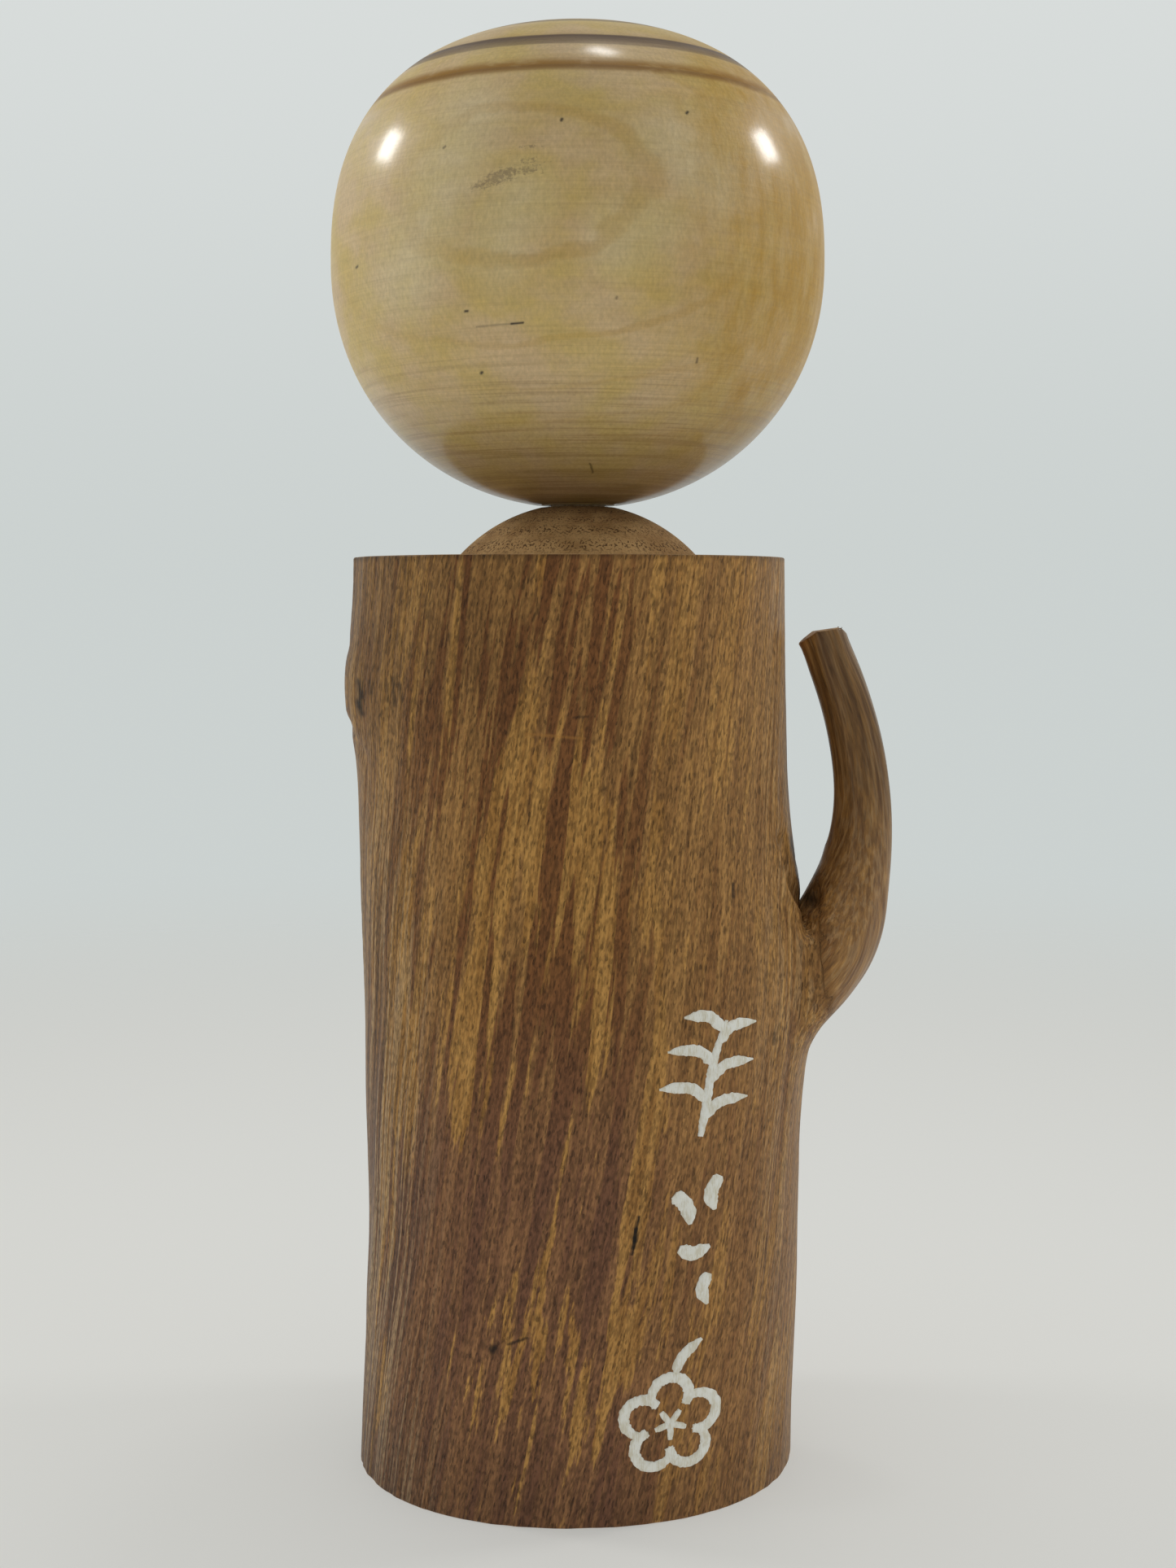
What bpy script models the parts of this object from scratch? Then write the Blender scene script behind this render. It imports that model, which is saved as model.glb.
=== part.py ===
"""Kokeshi doll: a peeled log with one natural branch for an arm, a turned shoulder dome and a turned head.

Metres, +Z up. The origin is on the flat base, on the axis that the head turns on. The side with the
branch is +X, the side with the painted mark faces -Y and the doll's face looks along +Y.
The head and its peg turn together in the dome and the log, which are one body.
"""

import math

import bmesh
import bpy
from mathutils import Vector

# Heights above the base. The whole doll stands 240 mm, the traditional eight sun.
LOG_TOP = 0.1538
DOME_TOP = 0.1623
HEAD_BOTTOM = 0.1626
HEAD_MIDDLE = 0.2017
HEAD_TOP = 0.2400
GAP = 0.0003  # between pieces that touch or are glued

# Head: two half outlines, each a superellipse that meets the other at the widest circle.
HEAD_RADIUS = 0.0409
CROWN_POWER = 2.44
CHIN_POWER = 2.08
CHIN_DEPTH = 0.0395  # how far below the middle the chin's curve would close
HEAD_SEAT_RADIUS = 0.0063  # the small flat under the head

# Shoulder dome: part of a ball, cut flat on top, on a round tenon.
DOME_BALL_RADIUS = 0.0271
DOME_BALL_CENTRE = 0.1359
TENON_RADIUS = 0.0100
TENON_END = 0.1380

# Peg: glued in the head, turning in the dome, with a bead below the tenon that keeps it in.
PEG_RADIUS = 0.0045
PEG_TOP = 0.1860
PEG_CHAMFER = 0.0008
BEAD_RADIUS = 0.0060
BEAD_TOP = 0.1372
BEAD_BOTTOM = 0.1320
CHAMBER_BOTTOM = 0.1305

# Trunk of the log: (height, how far its centre lies along +X, radius).
TRUNK_STATIONS = (
    (0.0, -0.0003, 0.0371),
    (0.015, 0.0003, 0.0370),
    (0.045, 0.0010, 0.0368),
    (0.072, 0.0009, 0.0369),
    (0.095, 0.0000, 0.0366),
    (0.115, -0.0009, 0.0361),
    (0.135, -0.0012, 0.0361),
    (LOG_TOP, -0.0014, 0.0361),
)
# Its section isn't quite round: (lobes, share of the radius, direction of one lobe in degrees).
TRUNK_LOBES = ((2, 0.010, 45.0), (3, -0.014, 30.0))
TRUNK_SIDES = 32  # of the cage that the smooth trunk is made from
SUBDIVISION = 1

# Swellings of the trunk: direction in degrees from +X towards +Y, height of the middle, how far it
# stands out, half width round the trunk in degrees, half height above the middle and below it.
KNOT = (193.0, 0.1325, 0.0023, 15.0, 0.0100, 0.0055)
BRANCH_COLLAR = (-6.0, 0.0830, 0.0034, 18.0, 0.0110, 0.0085)

# The branch grows out of a patch of the trunk, a few sides wide and a few rings high.
ROOT_DIRECTION = -6.0  # degrees from +X towards +Y
ROOT_SIDES = 3
ROOT_RINGS = 3
ROOT_BOTTOM = 0.0740
ROOT_TOP = 0.0960
RINGS_BELOW_ROOT = 9
RINGS_ABOVE_ROOT = 7

# Branch: (along +X, along +Y, height, radius) of its sections, from the root to the cut end.
BRANCH_SECTIONS = (
    (0.0415, -0.0030, 0.0868, 0.0084),
    (0.0446, -0.0029, 0.0926, 0.0076),
    (0.0465, -0.0028, 0.0990, 0.0062),
    (0.0479, -0.0026, 0.1064, 0.0052),
    (0.0483, -0.0022, 0.1140, 0.0047),
    (0.0472, -0.0018, 0.1225, 0.0045),
    (0.0450, -0.0014, 0.1310, 0.0042),
    (0.0412, -0.0010, 0.1405, 0.0041),
)
ROOT_LEAN = (0.75, 0.66)  # along +X and up, the way the branch leaves the trunk
TIP_LEAN = (-0.20, 0.98)  # square to the sawn end
ROOT_SPREAD = 0.45  # how much wider than thick the root is, round the trunk
SPREAD_FULL = 0.0850  # the spread is whole below this height
SPREAD_END = 0.1150  # and gone above this one

ROUND_STEPS = 56  # flats round each turned piece
HALF_PROFILE_STEPS = 14  # points of each half of the head's outline
DOME_STEPS = 8

WOODS = {  # colour, roughness
    "peeled_log": ((0.22, 0.105, 0.045), 0.45),
    "dome_wood": ((0.25, 0.145, 0.070), 0.75),
    "peg_wood": ((0.48, 0.33, 0.17), 0.65),
    "head_wood": ((0.52, 0.38, 0.19), 0.30),
}


def clear_scene():
    """Removes every object of the open file."""
    for thing in list(bpy.data.objects):
        bpy.data.objects.remove(thing)


def new_collection(name):
    made = bpy.data.collections.new(name)
    bpy.context.scene.collection.children.link(made)
    return made


def wood(name):
    """A Principled material with the named wood's colour and roughness."""
    colour, roughness = WOODS[name]
    made = bpy.data.materials.new(name)
    made.use_nodes = True
    shader = made.node_tree.nodes["Principled BSDF"]
    shader.inputs["Base Color"].default_value = (*colour, 1.0)
    shader.inputs["Roughness"].default_value = roughness
    shader.inputs["Metallic"].default_value = 0.0
    return made


def add_mesh_object(name, bm, collection):
    """Turns a bmesh into an object of the collection."""
    mesh = bpy.data.meshes.new(name)
    bm.to_mesh(mesh)
    bm.free()
    made = bpy.data.objects.new(name, mesh)
    collection.objects.link(made)
    return made


def finish_piece(piece, material_name):
    piece.data.materials.append(wood(material_name))
    piece.data.shade_smooth()
    piece.data.set_sharp_from_angle(angle=math.radians(35))


def hide_as_helper(piece):
    piece.hide_render = True
    piece.display_type = "WIRE"


def turned(name, profile, collection):
    """A lathe-turned solid. Its profile of (radius, height) points runs top down, from axis to axis."""
    bm = bmesh.new()
    points = [bm.verts.new((radius, 0.0, height)) for radius, height in profile]
    for upper, lower in zip(points, points[1:]):
        bm.edges.new((upper, lower))
    piece = add_mesh_object(name, bm, collection)
    screw = piece.modifiers.new("turn", "SCREW")
    screw.axis = "Z"
    screw.angle = math.tau
    screw.steps = screw.render_steps = ROUND_STEPS
    screw.use_merge_vertices = True
    screw.merge_threshold = 0.00001
    return piece


def ring_turned(name, profile, collection):
    """A lathe-turned solid with a hole through it. Its closed profile runs down the outer side."""
    bm = bmesh.new()
    points = [bm.verts.new((radius, 0.0, height)) for radius, height in profile]
    for start, end in zip(points, points[1:] + points[:1]):
        bm.edges.new((start, end))
    piece = add_mesh_object(name, bm, collection)
    screw = piece.modifiers.new("turn", "SCREW")
    screw.axis = "Z"
    screw.angle = math.tau
    screw.steps = screw.render_steps = ROUND_STEPS
    screw.use_merge_vertices = True
    screw.merge_threshold = 0.00001
    return piece


def superellipse(radius, depth, power, share):
    """A point of a quarter outline: share 0 is the widest circle and 1 is the pole."""
    turn = share * math.pi / 2
    return (
        radius * math.cos(turn) ** (2 / power),
        depth * math.sin(turn) ** (2 / power),
    )


def head_profile():
    """The head's outline from its crown down to its seat, then up the blind hole for the peg."""
    crown_height = HEAD_TOP - HEAD_MIDDLE
    points = [(0.0, HEAD_TOP)]
    for step in range(1, HALF_PROFILE_STEPS):
        out, up = superellipse(
            HEAD_RADIUS, crown_height, CROWN_POWER, 1 - step / HALF_PROFILE_STEPS
        )
        points.append((out, HEAD_MIDDLE + up))
    points.append((HEAD_RADIUS, HEAD_MIDDLE))
    for step in range(1, HALF_PROFILE_STEPS):
        out, down = superellipse(
            HEAD_RADIUS, CHIN_DEPTH, CHIN_POWER, step / HALF_PROFILE_STEPS
        )
        if out > HEAD_SEAT_RADIUS:
            points.append((out, HEAD_MIDDLE - down))
    points.append((HEAD_SEAT_RADIUS, HEAD_BOTTOM))
    hole = PEG_RADIUS + GAP
    points += [(hole, HEAD_BOTTOM), (hole, PEG_TOP + GAP), (0.0, PEG_TOP + GAP)]
    return points


def dome_profile():
    """The dome's outline: its flat top, its round shoulder, its tenon, and the hole that the peg turns in."""
    hole = PEG_RADIUS + GAP

    def ball_height(radius):
        return DOME_BALL_CENTRE + math.sqrt(DOME_BALL_RADIUS**2 - radius**2)

    base = LOG_TOP + GAP
    top_radius = math.sqrt(DOME_BALL_RADIUS**2 - (DOME_TOP - DOME_BALL_CENTRE) ** 2)
    rim_radius = math.sqrt(DOME_BALL_RADIUS**2 - (base - DOME_BALL_CENTRE) ** 2)
    points = [(hole, DOME_TOP), (top_radius, DOME_TOP)]
    for step in range(1, DOME_STEPS):
        radius = top_radius + (rim_radius - top_radius) * step / DOME_STEPS
        points.append((radius, ball_height(radius)))
    points += [
        (rim_radius, base),
        (TENON_RADIUS, base),
        (TENON_RADIUS, TENON_END),
        (hole, TENON_END),
    ]
    return points


def peg_profile():
    """The peg's outline: a plain round peg with a bead near its lower end."""
    return [
        (0.0, PEG_TOP),
        (PEG_RADIUS - PEG_CHAMFER, PEG_TOP),
        (PEG_RADIUS, PEG_TOP - PEG_CHAMFER),
        (PEG_RADIUS, BEAD_TOP + GAP),
        (BEAD_RADIUS, BEAD_TOP - PEG_CHAMFER),
        (BEAD_RADIUS, BEAD_BOTTOM + 2 * PEG_CHAMFER),
        (BEAD_RADIUS - 2 * PEG_CHAMFER, BEAD_BOTTOM),
        (0.0, BEAD_BOTTOM),
    ]


def between_stations(height):
    """The trunk's centre and radius at a height, on a smooth curve through the stations."""
    stations = TRUNK_STATIONS
    last = len(stations) - 1
    lower = max(i for i in range(last) if stations[i][0] <= height or i == 0)
    found = []
    for column in (1, 2):
        slopes = []
        for i in (lower, lower + 1):
            before, after = stations[max(i - 1, 0)], stations[min(i + 1, last)]
            slopes.append((after[column] - before[column]) / (after[0] - before[0]))
        start, end = stations[lower], stations[lower + 1]
        span = end[0] - start[0]
        t = (height - start[0]) / span
        found.append(
            start[column] * (2 * t**3 - 3 * t**2 + 1)
            + end[column] * (3 * t**2 - 2 * t**3)
            + span * slopes[0] * (t**3 - 2 * t**2 + t)
            + span * slopes[1] * (t**3 - t**2)
        )
    return found


def swelling(shape, degrees, height):
    """How far a knot or collar lifts the trunk's surface at a place."""
    middle, middle_height, lift, half_width, above, below = shape
    aside = (degrees - middle + 180) % 360 - 180
    up = height - middle_height
    half_height = above if up > 0 else below
    return lift * math.exp(-0.5 * ((aside / half_width) ** 2 + (up / half_height) ** 2))


def trunk_point(turn, height):
    """A corner of the trunk's cage, at a turn in radians from +X and a height."""
    centre, radius = between_stations(height)
    degrees = math.degrees(turn)
    for lobes, share, direction in TRUNK_LOBES:
        radius *= 1 + share * math.cos(lobes * (turn - math.radians(direction)))
    radius += swelling(KNOT, degrees, height) + swelling(BRANCH_COLLAR, degrees, height)
    radius = cage_radius(radius, TRUNK_SIDES)
    return Vector((centre + radius * math.cos(turn), radius * math.sin(turn), height))


def cage_radius(radius, sides):
    """How far from the axis a cage's corners lie, for its smooth surface to have this radius."""
    return radius * 3 / (2 + math.cos(math.tau / sides))


def ring_heights():
    """The heights of the trunk's rings, spaced so that the branch's patch has a ring at each end."""
    stretches = (
        (0.0, ROOT_BOTTOM, RINGS_BELOW_ROOT),
        (ROOT_BOTTOM, ROOT_TOP, ROOT_RINGS),
        (ROOT_TOP, LOG_TOP, RINGS_ABOVE_ROOT),
    )
    heights = [0.0]
    for start, end, count in stretches:
        heights += [start + (end - start) * step / count for step in range(1, count + 1)]
    return heights


def crease(bm, edges):
    """Keeps these edges sharp in the smooth surface."""
    layer = bm.edges.layers.float["crease_edge"]
    for edge in edges:
        edge[layer] = 1.0


def trunk_cage():
    """A cylinder with rings along it, whose corners are moved to the trunk's surface."""
    bm = bmesh.new()
    bm.edges.layers.float.new("crease_edge")
    bmesh.ops.create_cone(
        bm, cap_ends=True, segments=TRUNK_SIDES, radius1=1.0, radius2=1.0, depth=1.0
    )
    uprights = [e for e in bm.edges if abs(e.verts[0].co.z - e.verts[1].co.z) > 0.5]
    heights = ring_heights()
    rings = len(heights) - 1
    bmesh.ops.subdivide_edges(bm, edges=uprights, cuts=rings - 1)
    # The middle of a side, and not a corner, faces the way the branch grows.
    side_angle = math.tau / TRUNK_SIDES
    for point in bm.verts:
        ring = round((point.co.z + 0.5) * rings)
        corner = round(math.atan2(point.co.y, point.co.x) / side_angle) + 0.5
        turn = math.radians(ROOT_DIRECTION) + corner * side_angle
        point.co = trunk_point(turn, heights[ring])
    rims = [e for e in bm.edges if any(len(face.verts) > 4 for face in e.link_faces)]
    crease(bm, rims)
    return bm


def root_spread(height):
    """How far the branch is stretched sideways at a height, as a factor."""
    share = (SPREAD_END - height) / (SPREAD_END - SPREAD_FULL)
    share = min(max(share, 0.0), 1.0)
    return 1 + ROOT_SPREAD * share * share * (3 - 2 * share)


def grow_branch(bm):
    """Extrudes the root's patch along the branch's sections. Each corner keeps its place across the patch."""
    across = bm.verts.layers.float.new("across")
    up = bm.verts.layers.float.new("up")
    half_width = ROOT_SIDES * math.pi / TRUNK_SIDES
    patch = []
    for face in bm.faces:
        middle = face.calc_center_median()
        aside = math.atan2(middle.y, middle.x) - math.radians(ROOT_DIRECTION)
        if abs(aside) < half_width and ROOT_BOTTOM < middle.z < ROOT_TOP and len(face.verts) == 4:
            patch.append(face)
    for point in {corner for face in patch for corner in face.verts}:
        aside = math.atan2(point.co.y, point.co.x) - math.radians(ROOT_DIRECTION)
        point[across] = aside / half_width
        point[up] = 2 * (point.co.z - ROOT_BOTTOM) / (ROOT_TOP - ROOT_BOTTOM) - 1

    last = len(BRANCH_SECTIONS) - 1
    corners_round = 2 * (ROOT_SIDES + ROOT_RINGS)
    for i, (x, y, z, radius) in enumerate(BRANCH_SECTIONS):
        before, after = BRANCH_SECTIONS[max(i - 1, 0)], BRANCH_SECTIONS[min(i + 1, last)]
        lean = Vector((after[0] - before[0], 0.0, after[2] - before[2]))
        if i in (0, last):
            run, rise = ROOT_LEAN if i == 0 else TIP_LEAN
            lean = Vector((run, 0.0, rise))
        lean.normalize()
        inward = Vector((-lean.z, 0.0, lean.x))
        sideways = Vector((0.0, root_spread(z), 0.0))
        extruded = bmesh.ops.extrude_face_region(bm, geom=patch)["geom"]
        bmesh.ops.delete(bm, geom=patch, context="FACES")
        patch = [part for part in extruded if isinstance(part, bmesh.types.BMFace)]
        for point in (part for part in extruded if isinstance(part, bmesh.types.BMVert)):
            a, b = point[across], point[up]
            offset = sideways * (a * math.sqrt(1 - b * b / 2)) + inward * (b * math.sqrt(1 - a * a / 2))
            point.co = Vector((x, y, z)) + offset * cage_radius(radius, corners_round)
    own = set(patch)
    crease(bm, {e for face in patch for e in face.edges if not own.issuperset(e.link_faces)})


def socket_cutter(collection):
    """The stepped hole in the log's top: a socket for the tenon and a chamber for the peg's bead."""
    tenon_hole = TENON_RADIUS + GAP
    chamber = BEAD_RADIUS + 2 * GAP
    above = LOG_TOP + 0.005
    cutter = turned(
        "socket_cutter",
        [
            (0.0, above),
            (tenon_hole, above),
            (tenon_hole, TENON_END - GAP),
            (chamber, TENON_END - GAP),
            (chamber, CHAMBER_BOTTOM),
            (0.0, CHAMBER_BOTTOM),
        ],
        collection,
    )
    hide_as_helper(cutter)
    return cutter


def build_log(doll, cutters):
    """The trunk with its branch grown from it, made smooth, and its socket cut."""
    bm = trunk_cage()
    grow_branch(bm)
    bmesh.ops.recalc_face_normals(bm, faces=bm.faces)
    log = add_mesh_object("log_body", bm, doll)
    smooth = log.modifiers.new("smooth", "SUBSURF")
    smooth.levels = smooth.render_levels = SUBDIVISION
    socket = log.modifiers.new("cut_socket", "BOOLEAN")
    socket.operation = "DIFFERENCE"
    socket.solver = "EXACT"
    socket.object = socket_cutter(cutters)
    finish_piece(log, "peeled_log")
    return log


def main():
    clear_scene()
    doll = new_collection("kokeshi_doll")
    cutters = new_collection("cutters")

    build_log(doll, cutters)
    finish_piece(ring_turned("shoulder_dome", dome_profile(), doll), "dome_wood")

    turning_axis = bpy.data.objects.new("head_turning_axis", None)
    doll.objects.link(turning_axis)
    for name, profile, wood_name in (
        ("neck_peg", peg_profile(), "peg_wood"),
        ("head", head_profile(), "head_wood"),
    ):
        piece = turned(name, profile, doll)
        piece.parent = turning_axis
        finish_piece(piece, wood_name)


main()
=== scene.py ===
"""The looks of a kokeshi doll: a peeled log whose branch is an arm, a turned dome and a turned head.

Sizes are in metres in the doll's own frame: +Z up, the painted mark on the -Y side, the branch on the +X
side and the face on the +Y side. Colours are given as they look, from 0 to 255, and made linear.
"""

from __future__ import annotations

import logging
import math
from dataclasses import dataclass, field
from enum import Enum
from functools import reduce
from typing import Callable, Iterable, Sequence

import bmesh
import bpy
from mathutils import Matrix, Vector, noise
from mathutils.bvhtree import BVHTree

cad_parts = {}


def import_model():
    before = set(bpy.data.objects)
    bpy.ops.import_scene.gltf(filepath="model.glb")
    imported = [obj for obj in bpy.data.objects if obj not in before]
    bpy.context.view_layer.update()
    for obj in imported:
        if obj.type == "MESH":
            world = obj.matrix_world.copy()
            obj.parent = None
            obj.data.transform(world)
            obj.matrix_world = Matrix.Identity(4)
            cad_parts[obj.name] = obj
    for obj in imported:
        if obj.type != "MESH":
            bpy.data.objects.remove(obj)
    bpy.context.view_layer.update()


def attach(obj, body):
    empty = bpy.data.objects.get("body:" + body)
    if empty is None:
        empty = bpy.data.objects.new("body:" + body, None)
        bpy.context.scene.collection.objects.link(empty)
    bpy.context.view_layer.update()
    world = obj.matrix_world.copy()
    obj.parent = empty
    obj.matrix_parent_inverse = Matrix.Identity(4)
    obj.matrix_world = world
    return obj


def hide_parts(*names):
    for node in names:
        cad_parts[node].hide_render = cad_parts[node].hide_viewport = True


LOG = logging.getLogger("kokeshi")
MM = 0.001
MARK_WANDER = 0.9  # how far a blemish's edges wander, in millimetres
Colour = tuple[float, float, float]
Place = tuple[float, float]
Point = tuple[float, float, float]


class Body(Enum):
    """The bodies that the pieces ride on."""

    LOG = "body"
    HEAD = "head"


class Slot(Enum):
    """The material slots of the record."""

    LOG = "peeled_log"
    DOME = "dome_wood"
    PEG = "peg_wood"
    HEAD = "head_wood"


def seen(red: float, green: float, blue: float) -> Colour:
    """A colour as it looks, from 0 to 255, as linear values.

    Args:
        red, green, blue: the colour's parts, from 0 to 255.

    Returns:
        The linear colour, each part from 0 to 1.
    """
    parts = (part / 255 for part in (red, green, blue))
    return tuple(p / 12.92 if p <= 0.04045 else ((p + 0.055) / 1.055) ** 2.4 for p in parts)


def smooth_share(value: float, start: float, end: float) -> float:
    """How far a value is from start to end, from 0 to 1, easing at both ends."""
    share = min(max((value - start) / (end - start), 0.0), 1.0)
    return share * share * (3 - 2 * share)


def smooth_point(corners: Sequence[Vector], t: float) -> Vector:
    """A point of the smooth curve through four points, between the second and the third.

    Args:
        corners: the four points.
        t: how far the point is from the second to the third, from 0 to 1.

    Returns:
        The point.
    """
    a, b, c, d = corners
    linear, square = c - a, 2 * a - 5 * b + 4 * c - d
    cube = 3 * b - a - 3 * c + d
    return b + (linear * t + square * t * t + cube * t**3) * 0.5


# ---------------------------------------------------------------------------------------------- shaders


class Num:
    """A number that changes over a surface. Its arithmetic adds Math nodes."""

    def __init__(self, nodes: Nodes, socket: bpy.types.NodeSocket) -> None:
        """Wraps one output socket of a node tree."""
        self.nodes = nodes
        self.socket = socket

    def _math(self, operation: str, *others: Num | float, clamp: bool = False) -> Num:
        """Adds a Math node that takes this number first.

        Args:
            operation: the Math node's operation.
            others: its other numbers.
            clamp: whether the result is kept from 0 to 1.

        Returns:
            The node's result.
        """
        values = dict(enumerate((self, *others)))
        settings = {"operation": operation, "use_clamp": clamp}
        return self.nodes.num("ShaderNodeMath", settings, values)

    def _swapped(self, operation: str, first: float) -> Num:
        """Adds a Math node that takes a plain number first and this one second."""
        return self.nodes.num("ShaderNodeMath", {"operation": operation}, {0: first, 1: self})

    def __add__(self, other: Num | float) -> Num:
        """This number plus another."""
        return self._math("ADD", other)

    def __radd__(self, other: float) -> Num:
        """A plain number plus this one."""
        return self._math("ADD", other)

    def __sub__(self, other: Num | float) -> Num:
        """This number minus another."""
        return self._math("SUBTRACT", other)

    def __rsub__(self, other: float) -> Num:
        """A plain number minus this one."""
        return self._swapped("SUBTRACT", other)

    def __mul__(self, other: Num | float) -> Num:
        """This number times another."""
        return self._math("MULTIPLY", other)

    def __rmul__(self, other: float) -> Num:
        """A plain number times this one."""
        return self._math("MULTIPLY", other)

    def __abs__(self) -> Num:
        """This number without its sign."""
        return self._math("ABSOLUTE")

    def root(self) -> Num:
        """The square root."""
        return self._math("SQRT")

    def sine(self) -> Num:
        """The sine of this number, in radians."""
        return self._math("SINE")

    def most(self, other: Num | float) -> Num:
        """The larger of this number and another."""
        return self._math("MAXIMUM", other)

    def power(self, exponent: float) -> Num:
        """This number to a power."""
        return self._math("POWER", exponent)

    def kept(self) -> Num:
        """This number kept from 0 to 1."""
        return self._math("ADD", 0.0, clamp=True)

    def ease(self, start: float, end: float) -> Num:
        """How far this number is from start to end, from 0 to 1, easing at both ends.

        Args:
            start: where the result is 0.
            end: where the result is 1. It may be lower than start.

        Returns:
            The share.
        """
        if end < start:
            return 1.0 - self.ease(end, start)
        values = {"Value": self, "From Min": start, "From Max": end}
        return self.nodes.num("ShaderNodeMapRange", {"interpolation_type": "SMOOTHSTEP"}, values)


class Nodes:
    """A node tree, to which all nodes are added in one way."""

    def __init__(self, tree: bpy.types.NodeTree) -> None:
        """Takes the tree."""
        self.tree = tree

    def node(
        self,
        kind: str,
        settings: dict[str, object],
        values: dict[str | int, object],
    ) -> bpy.types.Node:
        """Adds a node.

        Args:
            kind: the node's type.
            settings: its properties, set first.
            values: its sockets, by name or number, each a plain value, a Num or another node's socket.

        Returns:
            The node.
        """
        made = self.tree.nodes.new(kind)
        for name, setting in settings.items():
            setattr(made, name, setting)
        for name, value in values.items():
            self.feed(made.inputs[name], value)
        return made

    def feed(self, socket: bpy.types.NodeSocket, value: object) -> None:
        """Gives a socket its value, or a link to where its value comes from.

        Args:
            socket: the socket.
            value: a plain value, a Num or another node's socket.
        """
        if isinstance(value, Num):
            value = value.socket
        if isinstance(value, bpy.types.NodeSocket):
            self.tree.links.new(value, socket)
        elif isinstance(value, tuple) and len(value) == 3 and socket.type == "RGBA":
            socket.default_value = (*value, 1.0)
        else:
            socket.default_value = value

    def num(self, kind: str, settings: dict[str, object], values: dict[str | int, object]) -> Num:
        """Adds a node and wraps its first output as a number."""
        return Num(self, self.node(kind, settings, values).outputs[0])

    def parts(self, vector: bpy.types.NodeSocket) -> tuple[Num, Num, Num]:
        """The three parts of a vector."""
        split = self.node("ShaderNodeSeparateXYZ", {}, {0: vector})
        return tuple(Num(self, output) for output in split.outputs)

    def mixed(
        self,
        share: Num | float,
        first: Colour | bpy.types.NodeSocket,
        second: Colour | bpy.types.NodeSocket,
    ) -> bpy.types.NodeSocket:
        """Two colours mixed.

        Args:
            share: how much of the second colour there is.
            first, second: linear colours or colour sockets.

        Returns:
            The mixed colour.
        """
        settings = {"data_type": "RGBA", "clamp_factor": True}
        return self.node("ShaderNodeMix", settings, {0: share, 6: first, 7: second}).outputs[2]


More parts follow.
